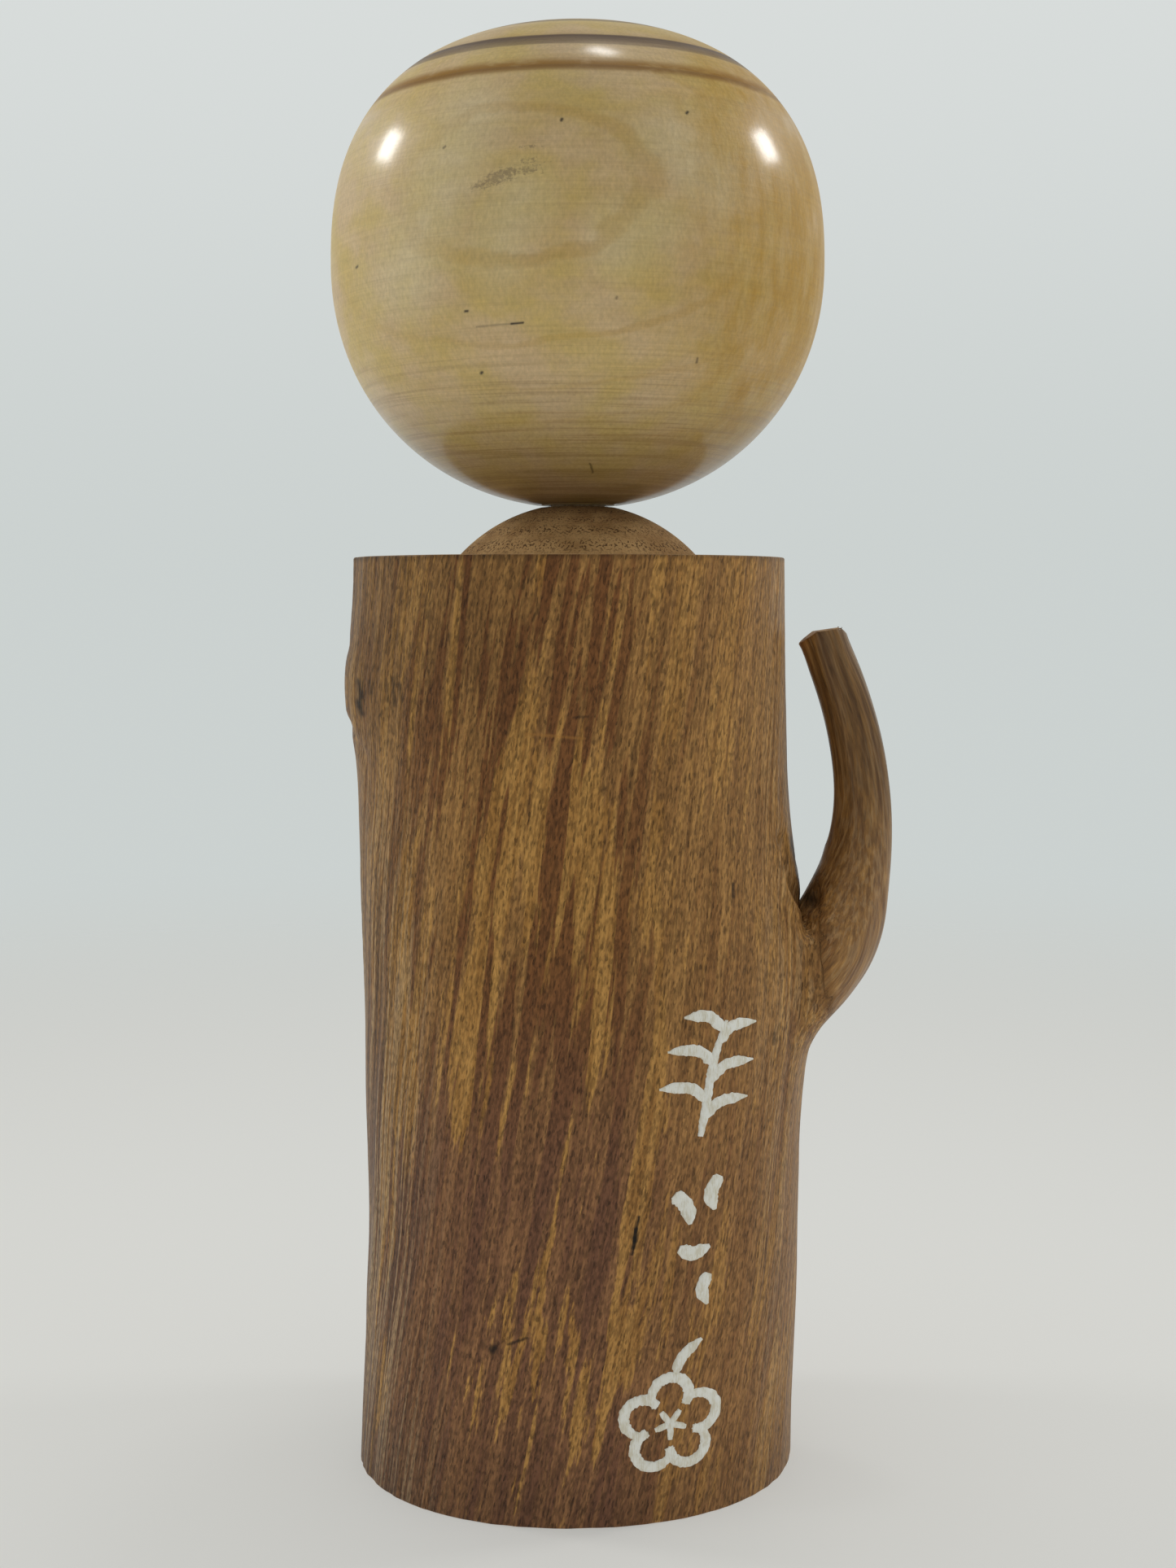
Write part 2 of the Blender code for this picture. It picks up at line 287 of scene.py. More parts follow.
class Bench(Nodes):
    """A material in the making: its shader and the coordinates that its patterns read, in millimetres."""

    def __init__(self, name: str) -> None:
        """Makes an empty material with a Principled shader.

        Args:
            name: the material's name.
        """
        self.material = bpy.data.materials.new(name)
        self.material.use_nodes = True
        super().__init__(self.material.node_tree)
        self.shader = self.tree.nodes["Principled BSDF"]
        place = self.node("ShaderNodeTexCoord", {}, {}).outputs["Object"]
        self.place = self.scaled(place, (1 / MM, 1 / MM, 1 / MM))
        self.x, self.y, self.z = self.parts(self.place)

    def scaled(self, vector: bpy.types.NodeSocket, by: Sequence[float]) -> bpy.types.NodeSocket:
        """A vector with each part multiplied by its own number."""
        settings = {"operation": "MULTIPLY"}
        return self.node("ShaderNodeVectorMath", settings, {0: vector, 1: tuple(by)}).outputs[0]

    def vector(self, x: Num | float, y: Num | float, z: Num | float) -> bpy.types.NodeSocket:
        """Three numbers as one vector."""
        return self.node("ShaderNodeCombineXYZ", {}, {0: x, 1: y, 2: z}).outputs[0]

    def attribute(self, name: str) -> bpy.types.NodeSocket:
        """A vector stored on the mesh, in millimetres."""
        read = self.node("ShaderNodeAttribute", {"attribute_name": name}, {})
        return self.scaled(read.outputs["Vector"], (1 / MM, 1 / MM, 1 / MM))

    def weight(self, name: str) -> Num:
        """A number stored on the mesh."""
        read = self.node("ShaderNodeAttribute", {"attribute_name": name}, {})
        return Num(self, read.outputs["Fac"])

    def noise(
        self,
        vector: bpy.types.NodeSocket,
        size: Sequence[float],
        detail: float = 2.0,
        roughness: float = 0.5,
        distortion: float = 0.0,
    ) -> Num:
        """Smooth noise, around 0.5.

        Args:
            vector: the place, in millimetres.
            size: how far apart the noise's features are along each axis, in millimetres.
            detail: how many finer layers are added.
            roughness: how strong each finer layer is.
            distortion: how far the noise bends itself.

        Returns:
            The noise.
        """
        values = {
            "Vector": self.scaled(vector, [1 / step for step in size]),
            "Scale": 1.0,
            "Detail": detail,
            "Roughness": roughness,
            "Distortion": distortion,
        }
        return self.num("ShaderNodeTexNoise", {"noise_dimensions": "3D"}, values)

    def shaded(self, colour: bpy.types.NodeSocket, by: Num) -> bpy.types.NodeSocket:
        """A colour with its brightness multiplied by a number."""
        values = {0: colour, "Scale": by}
        return self.node("ShaderNodeVectorMath", {"operation": "SCALE"}, values).outputs[0]

    def bump(
        self, height: Num, distance: float, under: bpy.types.NodeSocket | None = None
    ) -> bpy.types.NodeSocket:
        """A normal tilted by a height pattern.

        Args:
            height: the pattern, in shares of the distance.
            distance: how high 1 stands, in metres.
            under: a normal that this one is added to.

        Returns:
            The normal.
        """
        values = {"Height": height, "Distance": distance, "Strength": 1.0}
        if under is not None:
            values["Normal"] = under
        return self.node("ShaderNodeBump", {}, values).outputs[0]

    def line(
        self,
        place: bpy.types.NodeSocket,
        start: Sequence[float],
        end: Sequence[float],
        width: float,
        soft: float = 0.15,
    ) -> Num:
        """A short straight stroke as a mask from 0 to 1.

        Args:
            place: the place that is asked about, in millimetres.
            start, end: the stroke's ends.
            width: how wide it is.
            soft: how wide its soft edge is.

        Returns:
            The mask, which is whole inside the stroke.
        """
        run = [b - a for a, b in zip(start, end)]
        square = max(sum(part * part for part in run), 1e-6)
        away = self.node("ShaderNodeVectorMath", {"operation": "SUBTRACT"}, {0: place, 1: tuple(start)})
        reach = [part / square for part in run]
        values = {0: away.outputs[0], 1: tuple(reach)}
        dot = self.node("ShaderNodeVectorMath", {"operation": "DOT_PRODUCT"}, values)
        along = Num(self, dot.outputs["Value"]).kept()
        foot = self.node("ShaderNodeVectorMath", {"operation": "SCALE"}, {0: tuple(run), "Scale": along})
        values = {0: away.outputs[0], 1: foot.outputs[0]}
        distance = self.node("ShaderNodeVectorMath", {"operation": "DISTANCE"}, values)
        return Num(self, distance.outputs["Value"]).ease(width / 2 + soft, max(width / 2 - soft, 0.0))

    def patch(self, place: bpy.types.NodeSocket, patch: Patch) -> Num:
        """A soft patch as a mask, from 0 to its strength."""
        mask = self.line(place, patch.start, patch.end, patch.width, patch.soft)
        return mask if patch.strength == 1.0 else mask * patch.strength

    def patches(self, place: bpy.types.NodeSocket, patches: Iterable[Patch]) -> Num:
        """The strongest of several soft patches, as a mask."""
        return reduce(Num.most, [self.patch(place, patch) for patch in patches])

    def dimmed(self, light: Num, shades: Iterable[Shade]) -> Num:
        """A brightness, lower in the shaded parts.

        Args:
            light: the brightness.
            shades: the shaded parts.

        Returns:
            The brightness with the shades.
        """
        for shade in shades:
            mask = shade.depth
            if shade.along_x is not None:
                mask = self.x.ease(*shade.along_x) * mask
            if shade.in_height is not None:
                mask = self.z.ease(*shade.in_height) * mask
            light = light * (1.0 - mask)
        return light

    def marked(
        self,
        colour: bpy.types.NodeSocket,
        marks: Sequence[Mark],
        side: Num | float,
        ragged: Num,
    ) -> bpy.types.NodeSocket:
        """A colour with small blemishes.

        Args:
            colour: the colour under them.
            marks: the blemishes, on the -Y side.
            side: where the -Y side is.
            ragged: noise that breaks their edges.

        Returns:
            The colour with the marks.
        """
        wander = (ragged - 0.5) * MARK_WANDER
        flat = self.vector(self.x + wander, 0.0, self.z)
        for mark in marks:
            start, end = (mark.start[0], 0.0, mark.start[1]), (mark.end[0], 0.0, mark.end[1])
            mask = self.line(flat, start, end, mark.width, mark.soft)
            colour = self.mixed(mask * mark.strength * side, colour, mark.colour)
        return colour

    def finish(self, colour: object, **values: object) -> bpy.types.Material:
        """Sets the shader's sockets.

        Args:
            colour: the base colour, a linear colour or a socket.
            values: the shader's other sockets, by name with underscores for spaces.

        Returns:
            The material.
        """
        self.feed(self.shader.inputs["Base Color"], colour)
        for name, value in values.items():
            self.feed(self.shader.inputs[name.replace("_", " ")], value)
        return self.material


BLACK = seen(26, 22, 20)


@dataclass(frozen=True)
class Mark:
    """A small blemish on the -Y side: its ends as (x, z) in millimetres, its width and its tone."""

    start: Place
    end: Place
    width: float
    strength: float
    soft: float = 0.2
    colour: Colour = BLACK


@dataclass(frozen=True)
class Patch:
    """A soft patch along a line, in millimetres: its ends, its width, its soft edge and its strength."""

    start: Point
    end: Point
    width: float
    soft: float
    strength: float = 1.0


@dataclass(frozen=True)
class Shade:
    """A darker part: how dark it gets, and where it sets in along X and in height, in millimetres."""

    depth: float
    along_x: Place | None = None
    in_height: Place | None = None


@dataclass(frozen=True)
class LogFinish:
    """Peeled log under satin lacquer: flecked brown wood with red and golden flames along its fibres."""

    brown: Colour = seen(174, 129, 74)
    dark_brown: Colour = seen(148, 106, 60)
    red: Colour = seen(120, 76, 42)
    purple: Colour = seen(146, 103, 70)
    dark_purple: Colour = seen(118, 80, 58)
    gold: Colour = seen(192, 144, 78)
    deep_gold: Colour = seen(166, 119, 60)
    # Fibre lines near the outline: the pale is partly painted sheen, the dark partly painted shade.
    pale: Colour = seen(190, 162, 124)
    groove: Colour = seen(92, 70, 52)
    # Near-black for the painted shade in the crotch hollows.
    hollow: Colour = seen(40, 35, 32)
    elbow: Colour = seen(132, 90, 46)
    roughness: float = 0.5
    coat: float = 0.16
    branch_coat: float = 0.46
    coat_roughness: float = 0.3
    marks: tuple[Mark, ...] = (
        Mark((9.6, 50.6), (9.2, 48.2), 0.3, 0.9),
        Mark((9.25, 48.6), (9.0, 46.8), 0.75, 0.95, 0.3),
        Mark((9.0, 47.2), (8.8, 45.6), 0.5, 0.95, 0.25),
        Mark((8.8, 45.8), (8.6, 44.6), 0.25, 0.9),
        Mark((-13.4, 28.6), (-13.2, 28.9), 1.2, 0.85, 0.5),
        Mark((-10.8, 29.8), (-7.9, 31.1), 0.45, 0.75),
        Mark((23.9, 114.4), (23.8, 113.2), 0.5, 0.6),
        Mark((24.7, 102.0), (24.6, 100.0), 0.5, 0.7),
        Mark((31.8, 76.9), (31.8, 75.2), 0.5, 0.55),
        Mark((-0.6, 128.8), (1.5, 129.0), 0.4, 0.5),
        Mark((-7.8, 126.3), (1.2, 125.6), 0.3, 0.45, 0.25, seen(186, 130, 66)),
        Mark((8.9, 124.1), (8.3, 118.1), 0.6, 0.35, 0.3),
        Mark((-35.4, 133.6), (-34.9, 131.4), 0.7, 0.75, 0.6),
        Mark((-34.9, 131.8), (-35.4, 129.6), 0.5, 0.6, 0.6),
        Mark((-35.5, 130.2), (-35.0, 128.6), 0.9, 0.8, 0.6),
        Mark((-33.4, 133.8), (-33.0, 132.0), 0.4, 0.45, 0.4),
        Mark((-30.4, 134.3), (-30.1, 130.9), 0.5, 0.45, 0.35),
        Mark((-29.2, 134.5), (-28.9, 130.2), 0.5, 0.55, 0.35),
        Mark((-28.1, 133.6), (-27.6, 131.2), 0.5, 0.45, 0.35),
        Mark((-22.6, 149.3), (-22.4, 148.8), 0.8, 0.35, 0.4),
        Mark((-18.3, 149.2), (-18.1, 148.6), 0.8, 0.35, 0.4),
        Mark((-23.1, 144.9), (-22.8, 144.3), 0.7, 0.35, 0.4),
    )
    dark_heart: Patch = Patch((-2.0, 0.0, 128.0), (-1.0, 0.0, 150.0), 6.0, 8.0)
    golden_belts: tuple[Patch, ...] = (
        Patch((-13.0, 0.0, 106.0), (-17.0, 0.0, 68.0), 8.0, 10.0),
        Patch((6.0, 0.0, 112.0), (0.0, 0.0, 82.0), 7.0, 8.0),
        Patch((19.0, 0.0, 91.0), (22.0, 0.0, 85.0), 4.0, 5.0, 1.3),
    )
    elbow_shade: Patch = Patch((40.0, -5.0, 83.0), (47.0, -4.0, 91.0), 12.0, 6.0, 0.30)
    # Painted shade: dark patches in the crotch hollows, where the branch leaves the trunk.
    hollow_shades: tuple[Patch, ...] = (
        Patch((34.3, -14.0, 106.0), (35.6, -12.2, 99.0), 2.4, 1.3, 0.85),
        Patch((35.6, -12.2, 99.0), (39.0, -6.5, 96.6), 2.4, 1.3, 0.85),
        Patch((35.8, -8.0, 106.5), (38.0, -5.0, 97.5), 2.6, 1.3, 0.85),
    )
    shades: tuple[Shade, ...] = (
        Shade(0.16, in_height=(18.0, 1.0)),
        Shade(0.35, in_height=(152.6, 153.7)),
        Shade(0.10, along_x=(-18.0, -34.0)),
        Shade(0.10, along_x=(6.0, -12.0), in_height=(26.0, 6.0)),
        Shade(0.22, along_x=(4.0, -16.0), in_height=(116.0, 140.0)),
        Shade(0.42, along_x=(37.0, 40.0), in_height=(92.0, 124.0)),
    )
    coarse_bump: float = 0.0004
    fine_bump: float = 0.00022

    def make(self) -> bpy.types.Material:
        """Makes the material. Its patterns read the fibres' own coordinates, stored on the mesh.

        Returns:
            The material.
        """
        b = Bench("peeled_log")
        # The fibres of the trunk, those of the branch, and how much each place belongs to the branch.
        trunk = b.attribute("grain")
        branch = b.scaled(b.attribute("branch_grain"), (1.0, 1.0, 0.45))
        joining = b.weight("branch_share") + (b.noise(trunk, (1.0, 1.0, 5.0)) - 0.5) * 0.3
        grain = b.mixed(joining.ease(0.17, 0.23), trunk, branch)
        on_branch = joining.ease(0.10, 0.75)
        seam = joining.ease(0.06, 0.18) * joining.ease(0.42, 0.22)

        # Noise along the fibres, from the broadest flames to the finest vessels.
        areas = b.noise(grain, (5.5, 5.5, 44), 3, 0.55, 0.3)
        bands = b.noise(grain, (2.8, 2.8, 50), 3, 0.55, 0.3)
        streaks = b.noise(grain, (0.9, 0.9, 26), 3, 0.6)
        fibres = b.noise(grain, (0.45, 0.45, 4.0), 2, 0.6)
        flecks = b.noise(grain, (0.42, 0.42, 1.3), 1, 0.5)
        vessels = b.noise(grain, (0.36, 0.36, 1.3), 1, 0.5)
        lines = b.noise(grain, (0.70, 0.70, 55), 2, 0.5)
        ragged = (fibres - 0.5) * 0.14 + (flecks - 0.5) * 0.06 + (streaks - 0.5) * 0.12

        # The parts of the log that differ from the rest.
        right = b.x.ease(4, 18)
        left = b.x.ease(-18, -34)
        lower = b.z.ease(96, 50) * (1.0 - right * 0.55)
        foot = b.z.ease(26, 6) * b.x.ease(6, -12)
        front = b.vector(b.x, 0.0, b.z)
        dark_heart = b.patch(front, self.dark_heart)
        belts = b.patches(front, self.golden_belts)
        # Strips near the outline, wider low on the left, where fibre lines carry painted sheen and shade.
        edges = (left * (0.12 + b.z.ease(135, 85) * 0.50) + b.x.ease(26, 33) * 0.24).kept()

        # Brown ground, golden flames, dark stains, and pale and dark lines near the outline.
        ground = b.mixed(streaks.ease(0.36, 0.64), self.dark_brown, self.brown)
        low_ground = b.mixed(streaks.ease(0.36, 0.64), self.dark_purple, self.purple)
        ground = b.mixed(lower * 0.85, ground, low_ground)
        golden = areas + ragged - (bands - 0.5) * 0.45 + belts * 0.085 - dark_heart * 0.06 - 0.035
        golden = golden - lower * 0.02 - foot * 0.06
        bright = b.mixed(streaks.ease(0.38, 0.62), self.deep_gold, self.gold)
        flame = golden.ease(0.50, 0.55) * (0.85 - right * 0.30 - on_branch * 0.3) * (1.0 - seam * 0.8)
        wood = b.mixed(flame, ground, bright)
        banded = bands + ragged * 0.8 + dark_heart * 0.09 - right * 0.06 - on_branch * 0.02
        stain = banded.ease(0.52, 0.575) * (0.90 - right * 0.50 - left * 0.4) * (1.0 - seam * 0.7)
        wood = b.mixed(stain, wood, b.mixed(lower, self.red, self.dark_purple))
        # Painted sheen and painted shade: pale and dark fibre lines near the outline.
        wood = b.mixed(edges * lines.ease(0.50, 0.57), wood, self.pale)
        wood = b.mixed(edges * lines.ease(0.48, 0.41), wood, self.groove)

        # Light and dark: flecks and vessels, calmer on the branch, and the painted shade of the shaded
        # parts.
        calm = 1.0 - (on_branch * 0.62).most(seam * 0.5)
        speckle = (flecks.ease(0.34, 0.66) - 0.5) * 0.50 + (fibres - 0.5) * 0.50
        light = 1.02 + (streaks - 0.5) * (0.22 + on_branch * 0.40) * (1.0 - seam * 0.7) + speckle * calm
        light = light * (1.0 - vessels.ease(0.56, 0.64) * 0.34 * calm)
        # Painted shade: the shaded parts, and the seam where the branch meets the trunk.
        light = b.dimmed(light, self.shades) * (1.0 - (on_branch * 0.05).most(seam * 0.10))
        elbow = b.patch(b.place, self.elbow_shade).most(seam * 0.55)
        wood = b.shaded(b.mixed(elbow, wood, self.elbow), light)
        # Painted shade: near-black patches in the crotch hollows.
        for hollow in self.hollow_shades:
            wood = b.mixed(b.patch(b.place, hollow), wood, self.hollow)
        wood = b.marked(wood, self.marks, b.y.ease(3, -3), fibres)

        relief = (flecks * 0.9 + fibres * 0.5 - vessels.ease(0.62, 0.74) * 0.4) * calm
        grooves = (streaks - 0.5) * (1.0 - seam * 0.9) + lines * edges
        normal = b.bump(relief, self.fine_bump, b.bump(grooves, self.coarse_bump))
        return b.finish(
            wood,
            Roughness=self.roughness + (fibres - 0.5) * 0.2,
            Normal=normal,
            Coat_Weight=self.coat + on_branch * (self.branch_coat - self.coat),
            Coat_Roughness=self.coat_roughness,
            Specular_IOR_Level=0.10,
        )


@dataclass(frozen=True)
class SawnFinish:
    """The sawn ends of the log: growth rings round the pith, crossed by faint saw marks."""

    pale: Colour = seen(176, 140, 96)
    dark: Colour = seen(126, 90, 56)
    pith: Place = (2.0, 1.5)
    ring_step: float = 2.1
    roughness: float = 0.7

    def make(self) -> bpy.types.Material:
        """Makes the material.

        Returns:
            The material.
        """
        b = Bench("sawn_log_end")
        across, deep = b.x - self.pith[0], b.y - self.pith[1]
        wander = b.noise(b.place, (14, 14, 60), 3) - 0.5
        reach = (across * across + deep * deep).root() + wander * 3.0
        ring = (reach * (math.tau / self.ring_step)).sine() * 0.5 + 0.5
        speck = b.noise(b.place, (0.35, 0.35, 4), 2)
        saw = b.noise(b.vector(b.x + b.y * 0.35, 0.0, 0.0), (0.5, 1, 1), 2)
        colour = b.mixed(ring.power(2.5) * 0.65, self.pale, self.dark)
        colour = b.shaded(colour, 0.72 + speck * 0.38 + saw * 0.12)
        normal = b.bump(speck * 0.5 + saw * 0.5, 0.00012)
        return b.finish(colour, Roughness=self.roughness, Normal=normal)


@dataclass(frozen=True)
class DomeFinish:
    """Bare turned wood with open pores in rows."""

    pale: Colour = seen(186, 150, 102)
    brown: Colour = seen(160, 124, 80)
    pore: Colour = seen(74, 50, 30)
    row_step: float = 3.1
    roughness: float = 0.85

    def make(self) -> bpy.types.Material:
        """Makes the material.

        Returns:
            The material.
        """
        b = Bench("bare_dome_wood")
        mottle = b.noise(b.place, (5, 5, 9), 3)
        fibre = b.noise(b.place, (0.35, 0.35, 3.0), 2, 0.6)
        turning = b.noise(b.vector(b.x * 0.1, b.y * 0.1, b.z), (1, 1, 0.28), 2)
        pores = b.noise(b.place, (0.36, 0.36, 0.8), 1, 0.4)
        reach = (b.x * b.x + b.y * b.y).root() + mottle * 1.5
        rows = (reach * (math.tau / self.row_step)).sine() * 0.5 + 0.5
        open_pore = pores.ease(0.565, 0.62) * (0.20 + rows * 0.80)
        colour = b.mixed(mottle.ease(0.35, 0.65), self.brown, self.pale)
        colour = b.shaded(colour, 0.865 + fibre * 0.32 + turning * 0.16)
        colour = b.mixed(open_pore * 0.8, colour, self.pore)
        normal = b.bump(fibre * 0.5 + turning * 0.4 - open_pore, 0.00022)
        return b.finish(colour, Roughness=self.roughness, Normal=normal, Specular_IOR_Level=0.2)


@dataclass(frozen=True)
class PegFinish:
    """A plain turned peg of pale wood."""

    pale: Colour = seen(206, 178, 132)
    dark: Colour = seen(176, 144, 98)
    roughness: float = 0.65

    def make(self) -> bpy.types.Material:
        """Makes the material.

        Returns:
            The material.
        """
        b = Bench("peg_wood")
        fibre = b.noise(b.place, (0.5, 0.5, 12), 3, 0.6)
        turning = b.noise(b.vector(0.0, 0.0, b.z), (1, 1, 0.4), 2)
        colour = b.mixed(fibre.ease(0.35, 0.65), self.dark, self.pale)
        normal = b.bump(fibre * 0.5 + turning * 0.5, 0.0001)
        return b.finish(colour, Roughness=self.roughness, Normal=normal)


@dataclass(frozen=True)
class Ring:
    """A ring painted round the crown while the head turned on the lathe."""

    height: float
    half_width: float
    strength: float
    halo: float


@dataclass(frozen=True)
class HeadFinish:
    """Pale turned wood under gloss lacquer, amber on one side, with rings painted round the crown."""

    straw: Colour = seen(215, 187, 114)
    cream: Colour = seen(231, 216, 173)
    pink: Colour = seen(214, 180, 132)
    amber: Colour = seen(186, 142, 48)
    brown: Colour = seen(150, 112, 62)
    smudge: Colour = seen(92, 72, 66)
    ring_ink: Colour = seen(96, 70, 42)
    ring_halo: Colour = seen(160, 114, 30)
    rings: tuple[Ring, ...] = (
        Ring(232.0, 0.95, 1.0, 0.25),
        Ring(226.6, 0.40, 0.32, 1.0),
        Ring(237.2, 0.45, 0.8, 0.0),
    )
    pale_parts: tuple[Patch, ...] = (
        Patch((-26.0, 0.0, 196.0), (-16.0, 0.0, 219.0), 8.0, 8.0),
        Patch((14.0, 0.0, 215.0), (21.0, 0.0, 210.0), 7.0, 8.0),
        Patch((6.0, 0.0, 200.0), (12.0, 0.0, 203.0), 4.0, 8.0),
        Patch((-12.0, 0.0, 199.0), (-9.0, 0.0, 206.0), 4.0, 8.0),
    )
    smudges: tuple[Patch, ...] = (
        Patch((-15.0, 0.0, 208.4), (-6.0, 0.0, 210.8), 0.8, 2.6),
        Patch((-12.0, 0.0, 213.2), (-5.0, 0.0, 214.0), 0.4, 1.8, 0.7),
    )
    growth_axis: Place = (3.5, 14.0)
    growth_height: float = 202.0
    growth_lean: float = -0.12
    growth_step: float = 4.4
    growth_phase: float = -0.86
    middle_height: float = 203.0
    roughness: float = 0.45
    coat: float = 0.62
    coat_roughness: float = 0.18
    shades: tuple[Shade, ...] = (Shade(0.38, in_height=(186.0, 164.0)),)
    marks: tuple[Mark, ...] = (
        Mark((-15.1, 187.9), (-9.6, 188.1), 0.14, 0.35),
        Mark((-9.8, 188.1), (-8.1, 188.2), 0.22, 0.9),
        Mark((-2.3, 217.7), (-2.2, 217.9), 0.4, 0.9),
        Mark((16.5, 219.7), (16.6, 219.9), 0.4, 0.9),
        Mark((-16.8, 190.2), (-16.4, 190.2), 0.3, 0.9),
        Mark((-14.6, 181.3), (-14.5, 181.4), 0.35, 0.9),
        Mark((-34.7, 198.8), (-34.5, 198.9), 0.4, 0.8),
        Mark((18.3, 183.0), (18.5, 183.6), 0.2, 0.6),
        Mark((2.0, 168.2), (2.3, 167.0), 0.2, 0.6),
        Mark((-20.0, 214.6), (-19.8, 214.8), 0.3, 0.6),
        Mark((6.0, 191.6), (6.1, 191.8), 0.3, 0.5),
    )

    def crown(self, b: Bench, wood: bpy.types.NodeSocket) -> bpy.types.NodeSocket:
        """Paints the rings over the wood.

        Args:
            b: the material.
            wood: the wood's colour.

        Returns:
            The colour with the rings.
        """
        wobble = (b.noise(b.place, (16, 16, 16), 2) - 0.5) * 0.5
        worn = b.noise(b.place, (7, 7, 2), 3, 0.6)
        brushed = b.noise(b.vector(b.x * 0.12, b.y * 0.12, b.z), (1, 1, 0.22), 2)
        for ring in self.rings:
            above = b.z + wobble - ring.height
            if ring.halo:
                halo = above.ease(-1.0, 0.2) * above.ease(2.2, 0.6) * worn.ease(0.20, 0.50)
                wood = b.mixed(halo * ring.halo, wood, self.ring_halo)
            ink = abs(above).ease(ring.half_width + 0.25, ring.half_width - 0.15)
            deep = above.ease(-ring.half_width, ring.half_width) * 0.40 + 0.45 + brushed * 0.35
            wood = b.mixed((ink * deep * ring.strength * worn.ease(0.00, 0.40)).kept(), wood, self.ring_ink)
        return wood

    def smudged(self, b: Bench, wood: bpy.types.NodeSocket) -> bpy.types.NodeSocket:
        """Rubs speckled dirt into the wood, left of the middle.

        Args:
            b: the material.
            wood: the wood's colour.

        Returns:
            The colour with the dirt.
        """
        clusters = b.noise(b.place, (2.5, 2.5, 1.2)) - 0.5
        speckle = b.noise(b.place, (0.6, 0.6, 0.40), 3, 0.7) + clusters * 0.5
        place = b.vector(b.x + (b.noise(b.place, (4, 4, 2)) - 0.5) * 6.0, 0.0, b.z)
        dots = b.patches(place, self.smudges) * 0.45 + speckle
        return b.mixed(dots.ease(0.82, 1.04) * b.y.ease(3, -3) * 0.46, wood, self.smudge)

    def make(self) -> bpy.types.Material:
        """Makes the material.

        Returns:
            The material.
        """
        b = Bench("head_wood")
        mottle = b.noise(b.place, (12, 12, 9), 3, 0.55)
        clouds = b.noise(b.place, (5, 5, 3.2), 3, 0.6)
        fibre = b.noise(b.place, (0.5, 0.5, 0.9), 2, 0.6)
        turning = b.noise(b.vector(b.x * 0.04, b.y * 0.04, b.z), (1, 1, 0.42), 3, 0.7)
        lathe = b.noise(b.vector(b.x * 0.03, b.y * 0.03, b.z), (1, 1, 0.46), 3, 0.65)

        # Growth rings, seen where the head's surface cuts them.
        across = b.x - self.growth_axis[0]
        deep = b.y - self.growth_axis[1] + (b.z - self.growth_height) * self.growth_lean
        reach = (across * across + deep * deep).root() + (mottle - 0.5) * 1.2 + (clouds - 0.5) * 0.5
        wave = (reach * (math.tau / self.growth_step) + self.growth_phase).sine() * 0.5 + 0.5
        up = b.z - self.middle_height
        middle = (across * across + up * up).root().ease(34, 14)

        # Straw and pink wood with pale clouds, aged to amber towards +X.
        wood = b.mixed(mottle.ease(0.32, 0.68), self.straw, self.pink)
        front = b.vector(b.x, 0.0, b.z)
        paler = (clouds * 0.35 + mottle * 0.65).ease(0.36, 0.66) * 0.22
        cloudy = 0.12 + mottle * 0.5 + clouds * 0.35
        for part in self.pale_parts:
            paler = paler.most(b.patch(front, part) * cloudy)
        wood = b.mixed(paler.kept(), wood, self.cream)
        upright = b.noise(b.place, (3, 3, 14), 3, 0.6) - 0.5
        aged = b.x.ease(4, 36) * (0.85 + upright * 1.6) + (clouds - 0.5) * 0.55 + (0.5 - mottle) * 0.6
        wood = b.mixed(aged.kept(), wood, self.amber)
        growth = (wave.ease(0.94, 1.0) * 0.26 + wave * 0.07) * (0.25 + middle * 0.75)
        wood = b.mixed(growth, wood, self.amber)

        # Lines left by the lathe, stronger below.
        low = b.z.ease(190, 172)
        streak = lathe.ease(0.46, 0.64) * (0.08 + low * 0.28)
        wood = b.mixed(streak, wood, self.brown)
        light = 1.01 + (fibre - 0.5) * 0.45 + (turning - 0.5) * (low * 0.20 + 0.22) + (clouds - 0.5) * 0.20
        wood = b.shaded(wood, b.dimmed(light, self.shades))
        wood = self.smudged(b, self.crown(b, wood))
        wood = b.marked(wood, self.marks, b.y.ease(3, -3), clouds)

        # The lacquer is worn at the sides and the crown.
        normal = b.bump(turning * 0.6 + fibre * 0.8, 0.00006)
        sides = abs(b.x)
        worn = (sides.ease(31, 38) * 0.75).most(b.z.ease(230.5, 234) * 0.75)
        worn = worn.most(sides.ease(14, 22) * b.z.ease(222, 225) * 0.75)
        return b.finish(
            wood,
            Roughness=self.roughness,
            Normal=normal,
            Coat_Weight=(1.0 - worn) * self.coat,
            Coat_Roughness=self.coat_roughness,
            Specular_IOR_Level=0.15,
        )


@dataclass(frozen=True)
class Fold:
    """A ridge or a groove of the peeled surface: its line, how far it stands out and how wide it is."""

    path: tuple[Point, ...]
    lift: float
    half_width: float

    def at(self, point: Vector) -> float:
        """How far it lifts the surface.

        Args:
            point: the place on the surface.

        Returns:
            The lift, in metres, below 0 for a groove.
        """
        nearest = math.inf
        for start, end in zip(self.path, self.path[1:]):
            first, run = Vector(start), Vector(end) - Vector(start)
            share = min(max((point - first).dot(run) / run.length_squared, 0.0), 1.0)
            nearest = min(nearest, (point - first - run * share).length)
        return self.lift * math.exp(-0.5 * (nearest / self.half_width) ** 2)


